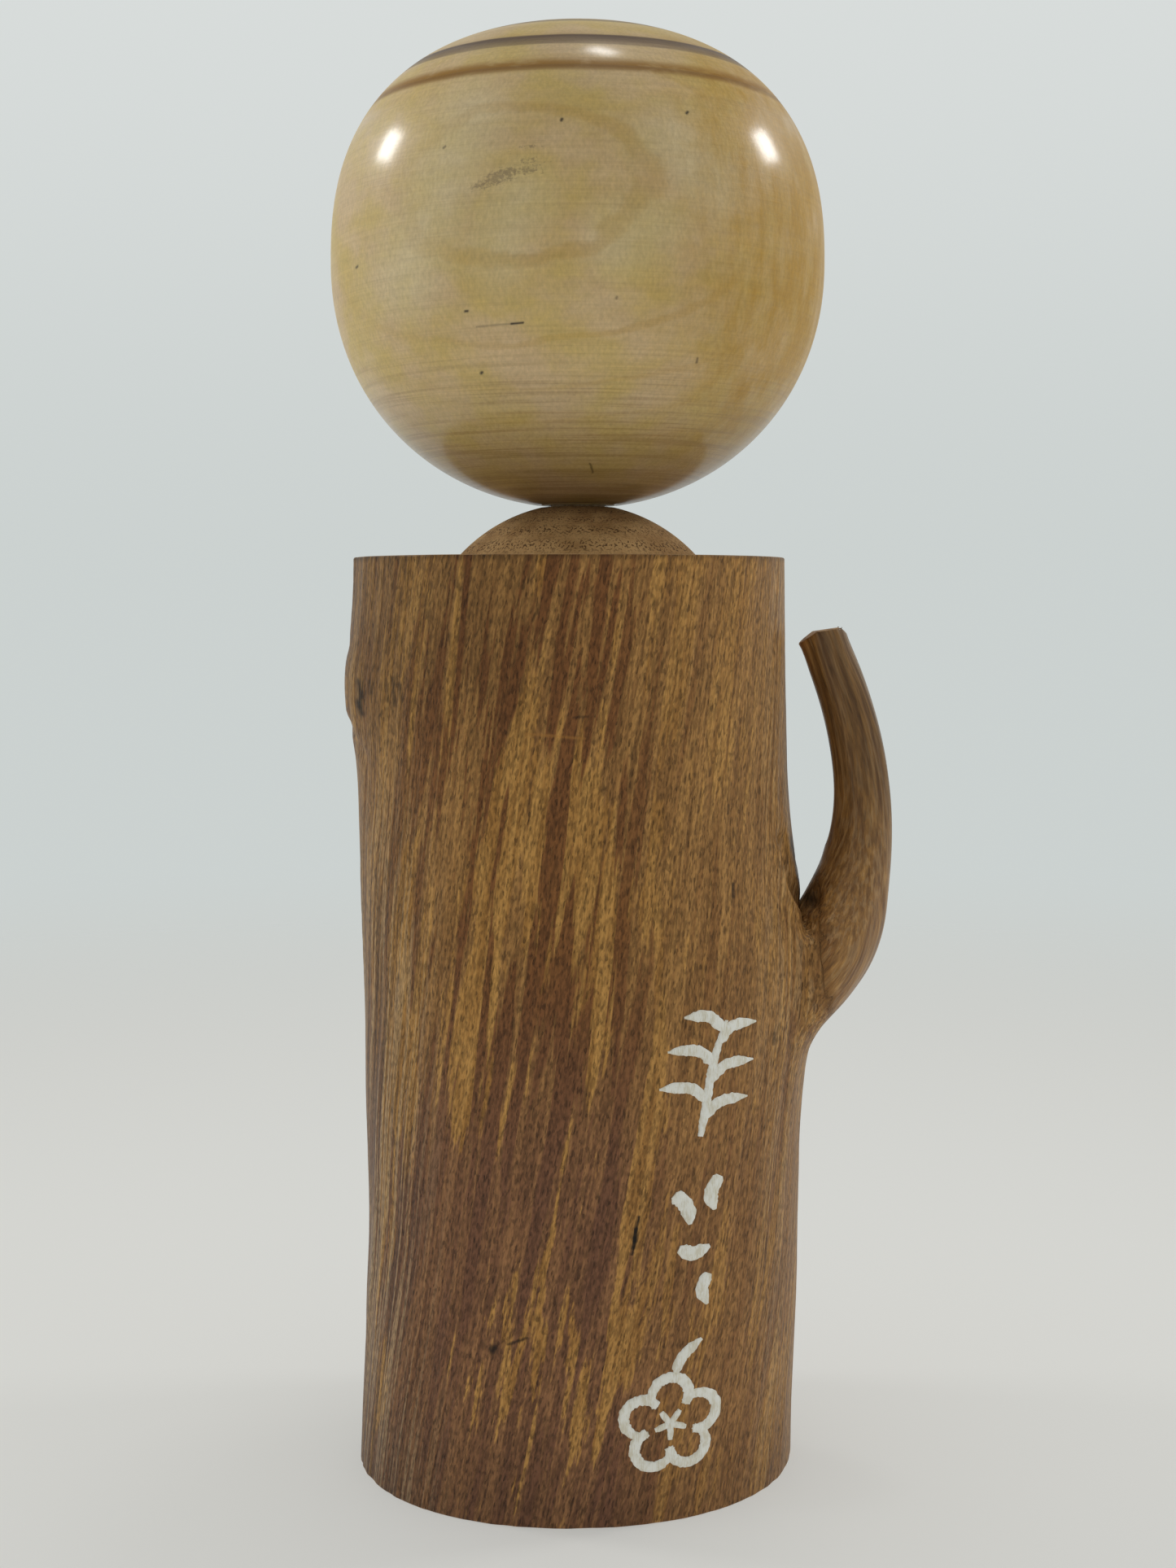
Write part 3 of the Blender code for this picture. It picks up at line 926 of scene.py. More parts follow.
class BranchLine:
    """The middle line of the branch, from inside the trunk to the tip."""

    steps: int = 6

    def __init__(self, rough: Sequence[Vector]) -> None:
        """Makes a smooth line through rough points, with its directions and lengths.

        Args:
            rough: the points that it goes through.
        """
        around = (rough[0], *rough, rough[-1])
        self.points: list[Vector] = []
        for corners in zip(around, around[1:], around[2:], around[3:]):
            self.points += [smooth_point(corners, step / self.steps) for step in range(self.steps)]
        self.points.append(rough[-1])
        ends = len(self.points) - 1
        self.ways: list[Vector] = []
        for i in range(ends + 1):
            run = self.points[min(i + 1, ends)] - self.points[max(i - 1, 0)]
            self.ways.append(run.normalized())
        self.lengths = [0.0]
        for start, end in zip(self.points, self.points[1:]):
            self.lengths.append(self.lengths[-1] + (end - start).length)

    def straighten(self, point: Vector) -> tuple[float, float, float]:
        """Where a point lies if the branch is pulled straight.

        Args:
            point: the point.

        Returns:
            How far it is outward from the line, how far along +Y from it, and how far along it.
        """
        best = (math.inf, 0, 0.0)
        for i, (start, end) in enumerate(zip(self.points, self.points[1:])):
            run = end - start
            share = min(max((point - start).dot(run) / run.length_squared, 0.0), 1.0)
            best = min(best, ((point - start - run * share).length_squared, i, share))
        _, i, share = best
        foot = self.points[i].lerp(self.points[i + 1], share)
        way = self.ways[i].lerp(self.ways[i + 1], share).normalized()
        offset = point - foot
        along = self.lengths[i] + share * (self.lengths[i + 1] - self.lengths[i]) + offset.dot(way)
        return offset.dot(Vector((way.z, 0.0, -way.x))), point.y, along


@dataclass(frozen=True)
class PaintFinish:
    """Brushed paint, a little uneven in tone."""

    name: str
    thick: Colour
    thin: Colour
    roughness: float = 0.45

    def make(self) -> bpy.types.Material:
        """Makes the material.

        Returns:
            The material.
        """
        b = Bench(self.name)
        load = b.noise(b.place, (1.2, 1.2, 2.4), 3, 0.6)
        hairs = b.noise(b.place, (0.16, 0.16, 1.4), 2, 0.5)
        colour = b.mixed((load * 0.6 + hairs * 0.4).ease(0.38, 0.58), self.thin, self.thick)
        normal = b.bump(load * 0.4 + hairs * 0.6, 0.00006)
        return b.finish(colour, Roughness=self.roughness, Normal=normal)


WHITE_PAINT = PaintFinish("white_paint", seen(250, 250, 242), seen(228, 222, 202))
BLACK_INK = PaintFinish("black_ink", seen(30, 26, 26), seen(46, 40, 38), 0.3)
RED_INK = PaintFinish("red_ink", seen(176, 44, 34), seen(196, 62, 46), 0.35)


# ----------------------------------------------------------------------------------------------- pieces


def add_object(name: str, bm: bmesh.types.BMesh) -> bpy.types.Object:
    """Turns a bmesh into an object of the scene.

    Args:
        name: the object's name.
        bm: the mesh, which is freed.

    Returns:
        The object.
    """
    mesh = bpy.data.meshes.new(name)
    bm.to_mesh(mesh)
    bm.free()
    made = bpy.data.objects.new(name, mesh)
    bpy.context.scene.collection.objects.link(made)
    return made


def dress(piece: bpy.types.Object, finishes: Sequence[bpy.types.Material], sharp: float = 35.0) -> None:
    """Gives a piece its materials and smooth shading with sharp creases.

    Args:
        piece: the piece.
        finishes: its materials, in the order of its faces' indices.
        sharp: the angle in degrees from which an edge stays sharp.
    """
    for finish in finishes:
        piece.data.materials.append(finish)
    piece.data.shade_smooth()
    piece.data.set_sharp_from_angle(angle=math.radians(sharp))


def place_piece(piece: bpy.types.Object, body: Body, slot: Slot, *nodes: str) -> bpy.types.Object:
    """Ties a piece to its body, hides the nodes that it stands for, and reports it.

    Args:
        piece: the piece.
        body: the body that it rides on.
        slot: the record's material slot; not used.
        nodes: the nodes that it stands for.

    Returns:
        The piece.
    """
    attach(piece, body.value)
    if nodes:
        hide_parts(*nodes)
    LOG.info("%s: %d faces on %s", piece.name, len(piece.data.polygons), body.value)
    return piece


def turned(name: str, outline: Sequence[Place], steps: int) -> bpy.types.Object:
    """A turned piece, made by spinning an outline round the vertical axis.

    Args:
        name: the piece's name.
        outline: its (radius, height) points. Both ends lie on the axis, or the outline is closed.
        steps: how many flats it has round it.

    Returns:
        The piece.
    """
    bm = bmesh.new()
    points = [bm.verts.new((radius, 0.0, height)) for radius, height in outline]
    pairs = list(zip(points, points[1:]))
    if outline[0][0] > 0:
        pairs.append((points[-1], points[0]))
    edges = [bm.edges.new(pair) for pair in pairs]
    bmesh.ops.spin(
        bm,
        geom=points + edges,
        cent=(0, 0, 0),
        axis=(0, 0, 1),
        angle=math.tau,
        steps=steps,
        use_merge=True,
        use_normal_flip=False,
    )
    bmesh.ops.remove_doubles(bm, verts=bm.verts, dist=1e-6)
    bmesh.ops.recalc_face_normals(bm, faces=bm.faces)
    return add_object(name, bm)


@dataclass
class Head:
    """The turned head: two superellipse halves that meet at the widest circle, and a hole for the peg."""

    radius: float = 0.0409
    crown_power: float = 2.44
    chin_power: float = 2.08
    chin_depth: float = 0.0395
    middle: float = 0.2017
    top: float = 0.2400
    bottom: float = 0.1626
    seat_radius: float = 0.0063
    hole_radius: float = 0.0048
    hole_top: float = 0.1863
    rim: float = 0.0002
    steps: int = 224
    half_points: int = 56

    def outline(self) -> list[Place]:
        """The head's outline, from the crown down to the seat and up the hole.

        Returns:
            Its (radius, height) points.
        """

        def half(depth: float, power: float, share: float) -> Place:
            """A point of a quarter outline: share 0 is the widest circle and 1 is the pole."""
            turn = share * math.pi / 2
            return self.radius * math.cos(turn) ** (2 / power), depth * math.sin(turn) ** (2 / power)

        points = [(0.0, self.top)]
        for step in range(1, self.half_points):
            out, up = half(self.top - self.middle, self.crown_power, 1 - step / self.half_points)
            points.append((out, self.middle + up))
        points.append((self.radius, self.middle))
        for step in range(1, self.half_points):
            out, down = half(self.chin_depth, self.chin_power, step / self.half_points)
            if out > self.seat_radius + self.rim:
                points.append((out, self.middle - down))
        points += [
            (self.seat_radius, self.bottom + self.rim),
            (self.seat_radius - self.rim, self.bottom),
            (self.hole_radius, self.bottom),
            (self.hole_radius, self.hole_top),
            (0.0, self.hole_top),
        ]
        return points

    def surface(self, turn: float, height: float) -> tuple[Vector, Vector]:
        """A point of the head's surface.

        Args:
            turn: the direction, in radians from +X towards +Y.
            height: the height above the base.

        Returns:
            The point, and the surface's normal there.
        """
        up = height - self.middle
        depth, power = (
            (self.top - self.middle, self.crown_power) if up > 0 else (self.chin_depth, self.chin_power)
        )
        share = min(abs(up) / depth, 1.0)
        reach = (1 - share**power) ** (1 / power)
        way = Vector((math.cos(turn), math.sin(turn), 0.0))
        rise = math.copysign(share ** (power - 1) / depth, up)
        normal = way * (reach ** (power - 1) / self.radius) + Vector((0, 0, rise))
        return way * (reach * self.radius) + Vector((0, 0, height)), normal.normalized()

    def build(self) -> bpy.types.Object:
        """Builds and dresses the head.

        Returns:
            The piece.
        """
        piece = turned("turned_head", self.outline(), self.steps)
        dress(piece, [HeadFinish().make()])
        return place_piece(piece, Body.HEAD, Slot.HEAD, "head")


@dataclass
class ShoulderDome:
    """The turned dome between the log and the head, with its tenon and the hole that the peg turns in."""

    ball_radius: float = 0.0271
    ball_centre: float = 0.1359
    top: float = 0.1623
    base: float = 0.1541
    tenon_radius: float = 0.0100
    tenon_end: float = 0.1380
    hole_radius: float = 0.0048
    lip: float = 0.0003
    lip_round: float = 0.0002
    steps: int = 160
    arc_points: int = 24

    def outline(self) -> list[Place]:
        """The dome's closed outline, down its outer side and up its hole.

        Returns:
            Its (radius, height) points.
        """

        def reach(height: float) -> float:
            """The ball's radius at a height."""
            return math.sqrt(self.ball_radius**2 - (height - self.ball_centre) ** 2)

        start, end = reach(self.top), reach(self.base)
        points = [(self.hole_radius, self.top), (start - self.lip, self.top)]
        for step in range(self.arc_points + 1):
            radius = start + self.lip_round + (end - start - self.lip_round) * step / self.arc_points
            height = self.ball_centre + math.sqrt(self.ball_radius**2 - radius**2)
            points.append((radius, height))
        points += [
            (self.tenon_radius, self.base),
            (self.tenon_radius, self.tenon_end),
            (self.hole_radius, self.tenon_end),
        ]
        return points

    def build(self) -> bpy.types.Object:
        """Builds and dresses the dome.

        Returns:
            The piece.
        """
        piece = turned("turned_dome", self.outline(), self.steps)
        dress(piece, [DomeFinish().make()])
        return place_piece(piece, Body.LOG, Slot.DOME, "shoulder_dome")


@dataclass
class NeckPeg:
    """The peg that holds the head: plain above, with a bead below that keeps it in the dome."""

    radius: float = 0.0045
    top: float = 0.1860
    bead_radius: float = 0.0060
    bead_top: float = 0.1372
    bottom: float = 0.1320
    chamfer: float = 0.0008
    bead_steps: int = 12
    steps: int = 64

    def build(self) -> bpy.types.Object:
        """Builds and dresses the peg.

        Returns:
            The piece.
        """
        middle = (self.bead_top + self.bottom) / 2
        half = (self.bead_top - self.bottom) / 2
        outline = [
            (0.0, self.top),
            (self.radius - self.chamfer, self.top),
            (self.radius, self.top - self.chamfer),
        ]
        for step in range(self.bead_steps + 1):
            turn = math.pi / 2 - math.pi * step / self.bead_steps
            swell = self.radius + (self.bead_radius - self.radius) * math.cos(turn)
            outline.append((swell, middle + half * math.sin(turn)))
        outline += [(self.radius - self.chamfer, self.bottom), (0.0, self.bottom)]
        piece = turned("turned_peg", outline, self.steps)
        dress(piece, [PegFinish().make()])
        return place_piece(piece, Body.HEAD, Slot.PEG, "neck_peg")


@dataclass(frozen=True)
class Swelling:
    """A place where the trunk's surface stands out, such as round a knot."""

    turn: float
    height: float
    lift: float
    half_width: float
    above: float
    below: float

    def at(self, turn: float, height: float) -> float:
        """How far it lifts the surface.

        Args:
            turn: the direction in degrees from +X towards +Y.
            height: the height above the base.

        Returns:
            The lift, in metres.
        """
        aside = (turn - self.turn + 180) % 360 - 180
        up = height - self.height
        half_height = self.above if up > 0 else self.below
        return self.lift * math.exp(-0.5 * ((aside / self.half_width) ** 2 + (up / half_height) ** 2))


@dataclass
class LogBody:
    """The peeled log and its branch, one piece of wood: a coarse cage made smooth, with its relief."""

    top: float = 0.1538
    stations: tuple[Point, ...] = (  # height, centre along +X, radius
        (0.0, -0.0003, 0.0371),
        (0.015, 0.0003, 0.0370),
        (0.045, 0.0010, 0.0368),
        (0.072, 0.0009, 0.0369),
        (0.095, 0.0000, 0.0366),
        (0.115, -0.0009, 0.0361),
        (0.135, -0.0012, 0.0361),
        (0.1538, -0.0014, 0.0361),
    )
    lobes: tuple[tuple[int, float, float], ...] = ((2, 0.010, 45.0), (3, -0.014, 30.0))  # count, share, turn
    foot_flat: float = 0.05  # how much of its radius the foot loses in front
    foot_top: float = 0.06
    sides: int = 36
    knot: Swelling = Swelling(193.0, 0.1315, 0.0026, 13.0, 0.0060, 0.0050)
    collar: Swelling = Swelling(-6.0, 0.0830, 0.0034, 18.0, 0.0110, 0.0085)
    folds: tuple[Fold, ...] = (
        Fold(
            ((0.0326, -0.0166, 0.1060), (0.0336, -0.0156, 0.0990), (0.0375, -0.0125, 0.0952)),
            lift=0.0008,
            half_width=0.0010,
        ),
        Fold(((0.0375, -0.0125, 0.0952), (0.0415, -0.0115, 0.0935)), lift=0.0006, half_width=0.0010),
        Fold(
            ((0.0344, -0.0138, 0.1070), (0.0356, -0.0122, 0.0995), (0.0388, -0.0075, 0.0968)),
            lift=-0.0014,
            half_width=0.0013,
        ),
        Fold(((-0.0380, -0.0010, 0.1394), (-0.0366, -0.0090, 0.1388)), lift=-0.0005, half_width=0.0009),
        Fold(
            ((-0.0385, -0.0010, 0.1268), (-0.0368, -0.0090, 0.1260), (-0.0340, -0.0150, 0.1215)),
            lift=-0.0006,
            half_width=0.0010,
        ),
        Fold(((-0.0385, -0.0010, 0.1290), (-0.0368, -0.0095, 0.1284)), lift=0.0004, half_width=0.0009),
    )
    folds_from: float = 0.028  # folds lie farther out than this along X, and between the two heights
    folds_low: float = 0.088
    folds_high: float = 0.144
    root_turn: float = -6.0
    root_sides: int = 3
    root_rings: int = 3
    root_bottom: float = 0.0740
    root_top: float = 0.0960
    rings_below: int = 10
    rings_above: int = 8
    sections: tuple[tuple[float, float, float, float], ...] = (  # x, y, height, radius
        (0.0415, -0.0030, 0.0868, 0.0084),
        (0.0446, -0.0029, 0.0926, 0.0076),
        (0.0465, -0.0028, 0.0990, 0.0062),
        (0.0479, -0.0026, 0.1064, 0.0052),
        (0.0483, -0.0022, 0.1140, 0.0047),
        (0.0472, -0.0018, 0.1225, 0.0045),
        (0.0450, -0.0014, 0.1310, 0.0042),
        (0.0412, -0.0010, 0.1405, 0.0041),
    )
    line_start: Point = (0.0300, -0.0028, 0.0760)
    branch_from: float = 0.0362
    branch_free: Place = (0.0980, 0.1080)  # from nothing to all branch, in height beyond branch_from
    branch_stands: Place = (0.0005, 0.0100)  # the same, in how far a place stands out from the trunk
    branch_root: Place = (0.0380, 0.0850)  # the place along +X and the height where its fibres part
    root_lean: Place = (0.75, 0.66)
    tip_lean: Place = (-0.20, 0.98)
    tip_cut: tuple[Place, ...] = ((0.0371, -0.0002), (0.0399, 0.0013), (0.0440, 0.0011), (0.0454, -0.0002))
    tip_height: float = 0.1345
    tip_reach: float = 0.0060
    root_spread: float = 0.45
    spread_full: float = 0.0850
    spread_end: float = 0.1150
    smoothing: int = 3
    twist: float = 4.7  # radians per metre that the fibres wind round the trunk
    parting: float = 0.0045  # how far the knot pushes the fibres aside
    parting_core: float = 0.0030
    parting_fade: Place = (0.022, 0.004)
    parting_squash: float = 0.55
    broad_relief: Place = (0.026, 0.30)  # each relief: its size in metres, its height in millimetres
    small_relief: Place = (0.011, 0.10)
    flutes: Point = (0.0030, 0.060, 0.16)  # across and along the fibres in metres, height in millimetres
    fine_flutes: Point = (0.0015, 0.030, 0.07)
    rough_side: Place = (-0.0200, -0.0370)  # the flutes are deeper from the first X to the second
    still_radius: float = 0.0300  # the sawn ends keep their shape within it
    level: float = 0.00001  # how close to a sawn end a point of it lies
    near_end: float = 0.0001  # the same for the middle of a face
    rim_bevel: float = 0.00025
    socket_radius: float = 0.0103
    socket_end: float = 0.1377
    chamber_radius: float = 0.0066
    chamber_end: float = 0.1305

    def trunk_at(self, height: float) -> tuple[float, float]:
        """The trunk's centre along +X and its radius, on a smooth curve through the stations.

        Args:
            height: the height above the base.

        Returns:
            The centre and the radius.
        """
        rows, last = self.stations, len(self.stations) - 1
        low = max(i for i in range(last) if rows[i][0] <= height or i == 0)
        span = rows[low + 1][0] - rows[low][0]
        t = (height - rows[low][0]) / span
        found = []
        for column in (1, 2):
            slopes = []
            for i in (low, low + 1):
                before, after = rows[max(i - 1, 0)], rows[min(i + 1, last)]
                slopes.append((after[column] - before[column]) / (after[0] - before[0]))
            found.append(
                rows[low][column] * (2 * t**3 - 3 * t**2 + 1)
                + rows[low + 1][column] * (3 * t**2 - 2 * t**3)
                + span * slopes[0] * (t**3 - 2 * t**2 + t)
                + span * slopes[1] * (t**3 - t**2)
            )
        return found[0], found[1]

    def radius_at(self, turn: float, height: float) -> float:
        """The trunk's radius from its own centre, with its lobes and swellings.

        Args:
            turn: the direction, in radians from +X towards +Y.
            height: the height above the base.

        Returns:
            The radius.
        """
        _, radius = self.trunk_at(height)
        for count, share, direction in self.lobes:
            radius *= 1 + share * math.cos(count * (turn - math.radians(direction)))
        flat = self.foot_flat * smooth_share(height, self.foot_top, 0.0)
        radius *= 1 - flat * max(-math.sin(turn), 0.0) ** 2
        degrees = math.degrees(turn)
        return radius + self.knot.at(degrees, height) + self.collar.at(degrees, height)

    @staticmethod
    def cage(radius: float, sides: int) -> float:
        """How far out a cage's corners lie, for its smooth surface to have this radius."""
        return radius * 3 / (2 + math.cos(math.tau / sides))

    def ring_heights(self) -> list[float]:
        """The heights of the cage's rings, with one at each end of the branch's patch.

        Returns:
            The heights, from the base up.
        """
        heights = [0.0]
        for start, end, count in (
            (0.0, self.root_bottom, self.rings_below),
            (self.root_bottom, self.root_top, self.root_rings),
            (self.root_top, self.top, self.rings_above),
        ):
            heights += [start + (end - start) * step / count for step in range(1, count + 1)]
        return heights

    @staticmethod
    def crease(bm: bmesh.types.BMesh, edges: Iterable[bmesh.types.BMEdge]) -> None:
        """Keeps edges sharp in the smooth surface.

        Args:
            bm: the cage.
            edges: the edges.
        """
        layer = bm.edges.layers.float["crease_edge"]
        for edge in edges:
            edge[layer] = 1.0

    def trunk_cage(self) -> bmesh.types.BMesh:
        """Makes the trunk's cage: a cylinder with rings along it, moved to the trunk's shape.

        Returns:
            The cage.
        """
        bm = bmesh.new()
        bm.edges.layers.float.new("crease_edge")
        bm.verts.layers.float.new("across")
        bm.verts.layers.float.new("up")
        bmesh.ops.create_cone(bm, cap_ends=True, segments=self.sides, radius1=1, radius2=1, depth=1)
        uprights = [e for e in bm.edges if abs(e.verts[0].co.z - e.verts[1].co.z) > 0.5]
        heights = self.ring_heights()
        rings = len(heights) - 1
        bmesh.ops.subdivide_edges(bm, edges=uprights, cuts=rings - 1)
        side = math.tau / self.sides
        for point in bm.verts:
            corner = round(math.atan2(point.co.y, point.co.x) / side) + 0.5
            turn = math.radians(self.root_turn) + corner * side
            height = heights[round((point.co.z + 0.5) * rings)]
            centre, _ = self.trunk_at(height)
            radius = self.cage(self.radius_at(turn, height), self.sides)
            point.co = (centre + radius * math.cos(turn), radius * math.sin(turn), height)
        rims = [e for e in bm.edges if any(len(face.verts) > 4 for face in e.link_faces)]
        self.crease(bm, rims)
        return bm

    def cut_socket(self, bm: bmesh.types.BMesh) -> None:
        """Sinks the stepped socket into the trunk's top face, for the dome's tenon and the peg's bead.

        Args:
            bm: the cage.
        """
        face = max((f for f in bm.faces if len(f.verts) > 4), key=lambda f: f.calc_center_median().z)
        for radius, height in (
            (self.socket_radius, self.top),
            (self.socket_radius, self.socket_end),
            (self.chamber_radius, self.socket_end),
            (self.chamber_radius, self.chamber_end),
        ):
            face = bmesh.ops.extrude_discrete_faces(bm, faces=[face])["faces"][0]
            corners = len(face.verts)
            for point in face.verts:
                flat = Vector((point.co.x, point.co.y, 0.0)).normalized()
                point.co = flat * self.cage(radius, corners) + Vector((0, 0, height))
            self.crease(bm, face.edges)

    def spread(self, height: float) -> float:
        """How far the branch is stretched sideways at a height, as a factor."""
        return 1 + self.root_spread * smooth_share(height, self.spread_end, self.spread_full)

    def grow_branch(self, bm: bmesh.types.BMesh) -> None:
        """Extrudes a patch of the trunk along the branch's sections.

        Args:
            bm: the cage.
        """
        across, up = bm.verts.layers.float["across"], bm.verts.layers.float["up"]
        half_width = self.root_sides * math.pi / self.sides
        root = math.radians(self.root_turn)
        patch = []
        for face in bm.faces:
            middle = face.calc_center_median()
            aside = math.atan2(middle.y, middle.x) - root
            inside = abs(aside) < half_width and self.root_bottom < middle.z < self.root_top
            if inside and len(face.verts) == 4 and middle.xy.length > self.socket_radius * 2:
                patch.append(face)
        for point in {corner for face in patch for corner in face.verts}:
            point[across] = (math.atan2(point.co.y, point.co.x) - root) / half_width
            point[up] = 2 * (point.co.z - self.root_bottom) / (self.root_top - self.root_bottom) - 1
        last = len(self.sections) - 1
        corners = 2 * (self.root_sides + self.root_rings)
        for i, (x, y, z, radius) in enumerate(self.sections):
            before, after = self.sections[max(i - 1, 0)], self.sections[min(i + 1, last)]
            lean = Vector((after[0] - before[0], 0.0, after[2] - before[2]))
            if i in (0, last):
                run, rise = self.root_lean if i == 0 else self.tip_lean
                lean = Vector((run, 0.0, rise))
            lean.normalize()
            inward, sideways = Vector((-lean.z, 0.0, lean.x)), Vector((0.0, self.spread(z), 0.0))
            grown = bmesh.ops.extrude_face_region(bm, geom=patch)["geom"]
            bmesh.ops.delete(bm, geom=patch, context="FACES")
            patch = [part for part in grown if isinstance(part, bmesh.types.BMFace)]
            for point in (part for part in grown if isinstance(part, bmesh.types.BMVert)):
                a, b = point[across], point[up]
                offset = sideways * (a * math.sqrt(1 - b * b / 2)) + inward * (b * math.sqrt(1 - a * a / 2))
                point.co = Vector((x, y, z)) + offset * self.cage(radius, corners)
        own = set(patch)
        self.crease(bm, {e for face in patch for e in face.edges if not own.issuperset(e.link_faces)})

    def smooth_mesh(self) -> bpy.types.Mesh:
        """Makes the whole cage and smooths it.

        Returns:
            The smooth surface, as a plain mesh.
        """
        bm = self.trunk_cage()
        self.cut_socket(bm)
        self.grow_branch(bm)
        bmesh.ops.recalc_face_normals(bm, faces=bm.faces)
        cage = add_object("log_cage", bm)
        smooth = cage.modifiers.new("smooth", "SUBSURF")
        smooth.levels = smooth.render_levels = self.smoothing
        graph = bpy.context.evaluated_depsgraph_get()
        mesh = bpy.data.meshes.new_from_object(cage.evaluated_get(graph))
        bpy.data.objects.remove(cage)
        return mesh

    def grain_at(self, point: Vector, line: BranchLine) -> tuple[Vector, Vector, float]:
        """Where a point lies in the wood if its fibres were straight and upright.

        Args:
            point: the point.
            line: the branch's middle line.

        Returns:
            The straightened place in the trunk, the same in the branch, and how much the point belongs to
            the branch, from 0 to 1.
        """
        height = min(max(point.z, 0.0), self.top)
        centre, _ = self.trunk_at(height)
        across = Vector((point.x - centre, point.y))
        turn, reach = math.atan2(across.y, across.x), across.length
        share = smooth_share(reach - self.radius_at(turn, height), *self.branch_stands)
        if point.x > self.branch_from:
            share = max(share, smooth_share(point.z, *self.branch_free))
        winding = turn - self.twist * point.z
        # Fibres part round the knot.
        aside = math.remainder(turn - math.radians(self.knot.turn), math.tau) * reach
        up = (point.z - self.knot.height) * self.parting_squash
        near = aside * aside + up * up
        fade = smooth_share(near**0.5, *self.parting_fade)
        winding -= self.parting**2 * aside / (near + self.parting_core**2) / reach * fade
        trunk = Vector((math.cos(winding) * reach, math.sin(winding) * reach, point.z))
        if share == 0.0:
            return trunk, trunk, 0.0
        outward, aside, along = line.straighten(point)
        root_x, root_height = self.branch_root
        turn_back = Matrix.Rotation(-self.twist * root_height, 3, "Z")
        upright = Vector((root_x + outward - centre, aside, self.line_start[2] + along))
        return trunk, turn_back @ upright, share

    @staticmethod
    def fluted(grain: Vector, across: float, along: float, height: float) -> float:
        """Noise drawn out along the fibres, up to a height."""
        return noise.noise(Vector((grain.x / across, grain.y / across, grain.z / along))) * height

    def relief(self, grain: Vector, point: Vector, share: float) -> float:
        """How far the peeled surface stands out at a place.

        Args:
            grain: the straightened place.
            point: the place itself.
            share: how much the place belongs to the branch.

        Returns:
            The height, in metres.
        """
        (broad_size, broad_height), (small_size, small_height) = self.broad_relief, self.small_relief
        elsewhere = Vector((7, 3, 1))
        broad = noise.noise(point / broad_size) * broad_height
        broad += noise.noise(point / small_size + elsewhere) * small_height
        flutes = self.fluted(grain, *self.flutes) + self.fluted(grain, *self.fine_flutes)
        rough = smooth_share(point.x, *self.rough_side) * (1 - share)
        height = (broad * (1 - 0.7 * share) + flutes * (1 + 0.8 * rough + 0.4 * share)) * MM
        if abs(point.x) > self.folds_from and self.folds_low < point.z < self.folds_high and point.y < 0.0:
            height += sum(fold.at(point) for fold in self.folds)
        return height

    def tip_lift(self, x: float) -> float:
        """How far the branch's sawn tip is lifted, so that its end has several cuts.

        Args:
            x: the place along +X.

        Returns:
            The lift, in metres.
        """
        places = self.tip_cut
        if x <= places[0][0]:
            return places[0][1]
        for (start, low), (end, high) in zip(places, places[1:]):
            if x <= end:
                return low + (high - low) * (x - start) / (end - start)
        return places[-1][1]

    def build(self) -> bpy.types.Object:
        """Builds and dresses the log.

        Returns:
            The piece.
        """
        bm = bmesh.new()
        bm.from_mesh(self.smooth_mesh())
        bm.normal_update()
        line = BranchLine([Vector(self.line_start)] + [Vector(section[:3]) for section in self.sections])
        tip, tip_way = line.points[-1], Vector((self.tip_lean[0], 0.0, self.tip_lean[1]))
        trunk_layer = bm.verts.layers.float_vector.new("grain")
        branch_layer = bm.verts.layers.float_vector.new("branch_grain")
        share_layer = bm.verts.layers.float.new("branch_share")
        moves = []
        for point in bm.verts:
            trunk, branch, share = self.grain_at(point.co, line)
            point[trunk_layer], point[branch_layer], point[share_layer] = trunk, branch, share
            grain = trunk.lerp(branch, share)
            on_trunk, on_branch = share < 0.5, share > 0.9
            flat_end = on_trunk and not self.level < point.co.z < self.top - self.level
            inside = on_trunk and point.co.xy.length < self.still_radius
            tip_face = on_branch and (point.co - tip).dot(tip_way) > -2e-4
            way = Vector((0.0, 0.0, 0.0))
            if flat_end and not inside:
                way = Vector((point.co.x, point.co.y, 0.0)).normalized()
            elif not inside and not tip_face:
                way = point.normal
            move = way * self.relief(grain, point.co, share)
            if on_branch and point.co.z > self.tip_height:
                near_tip = smooth_share(point.co.z, self.tip_height, tip.z - 0.0005)
                move.z += self.tip_lift(point.co.x) * near_tip
            moves.append((point, move))
        for point, move in moves:
            point.co += move
        self.mark_ends(bm, tip)
        piece = add_object("peeled_log", bm)
        dress(piece, [LogFinish().make(), SawnFinish().make()], 50.0)
        return place_piece(piece, Body.LOG, Slot.LOG, "log_body")

    def mark_ends(self, bm: bmesh.types.BMesh, tip: Vector) -> None:
        """Gives the sawn faces and the socket their own material, and softens the rims between the two.

        Args:
            bm: the log's mesh.
            tip: the middle of the branch's sawn end.
        """
        bm.normal_update()
        for face in bm.faces:
            middle = face.calc_center_median()
            level = abs(face.normal.z) > 0.98
            sawn = level and not self.near_end <= middle.z <= self.top - self.near_end
            hollow = middle.xy.length < self.socket_radius + MM
            end = (middle - tip).length < self.tip_reach and face.normal.z > 0.75
            face.material_index = 1 if sawn or hollow or end else 0
        rims = [e for e in bm.edges if len({face.material_index for face in e.link_faces}) == 2]
        bmesh.ops.bevel(
            bm,
            geom=rims,
            offset=self.rim_bevel,
            offset_type="OFFSET",
            segments=2,
            profile=0.5,
            affect="EDGES",
            material=-1,
        )


# ------------------------------------------------------------------------------------------ brush strokes

Projection = Callable[[float, float], tuple[Vector, Vector]]


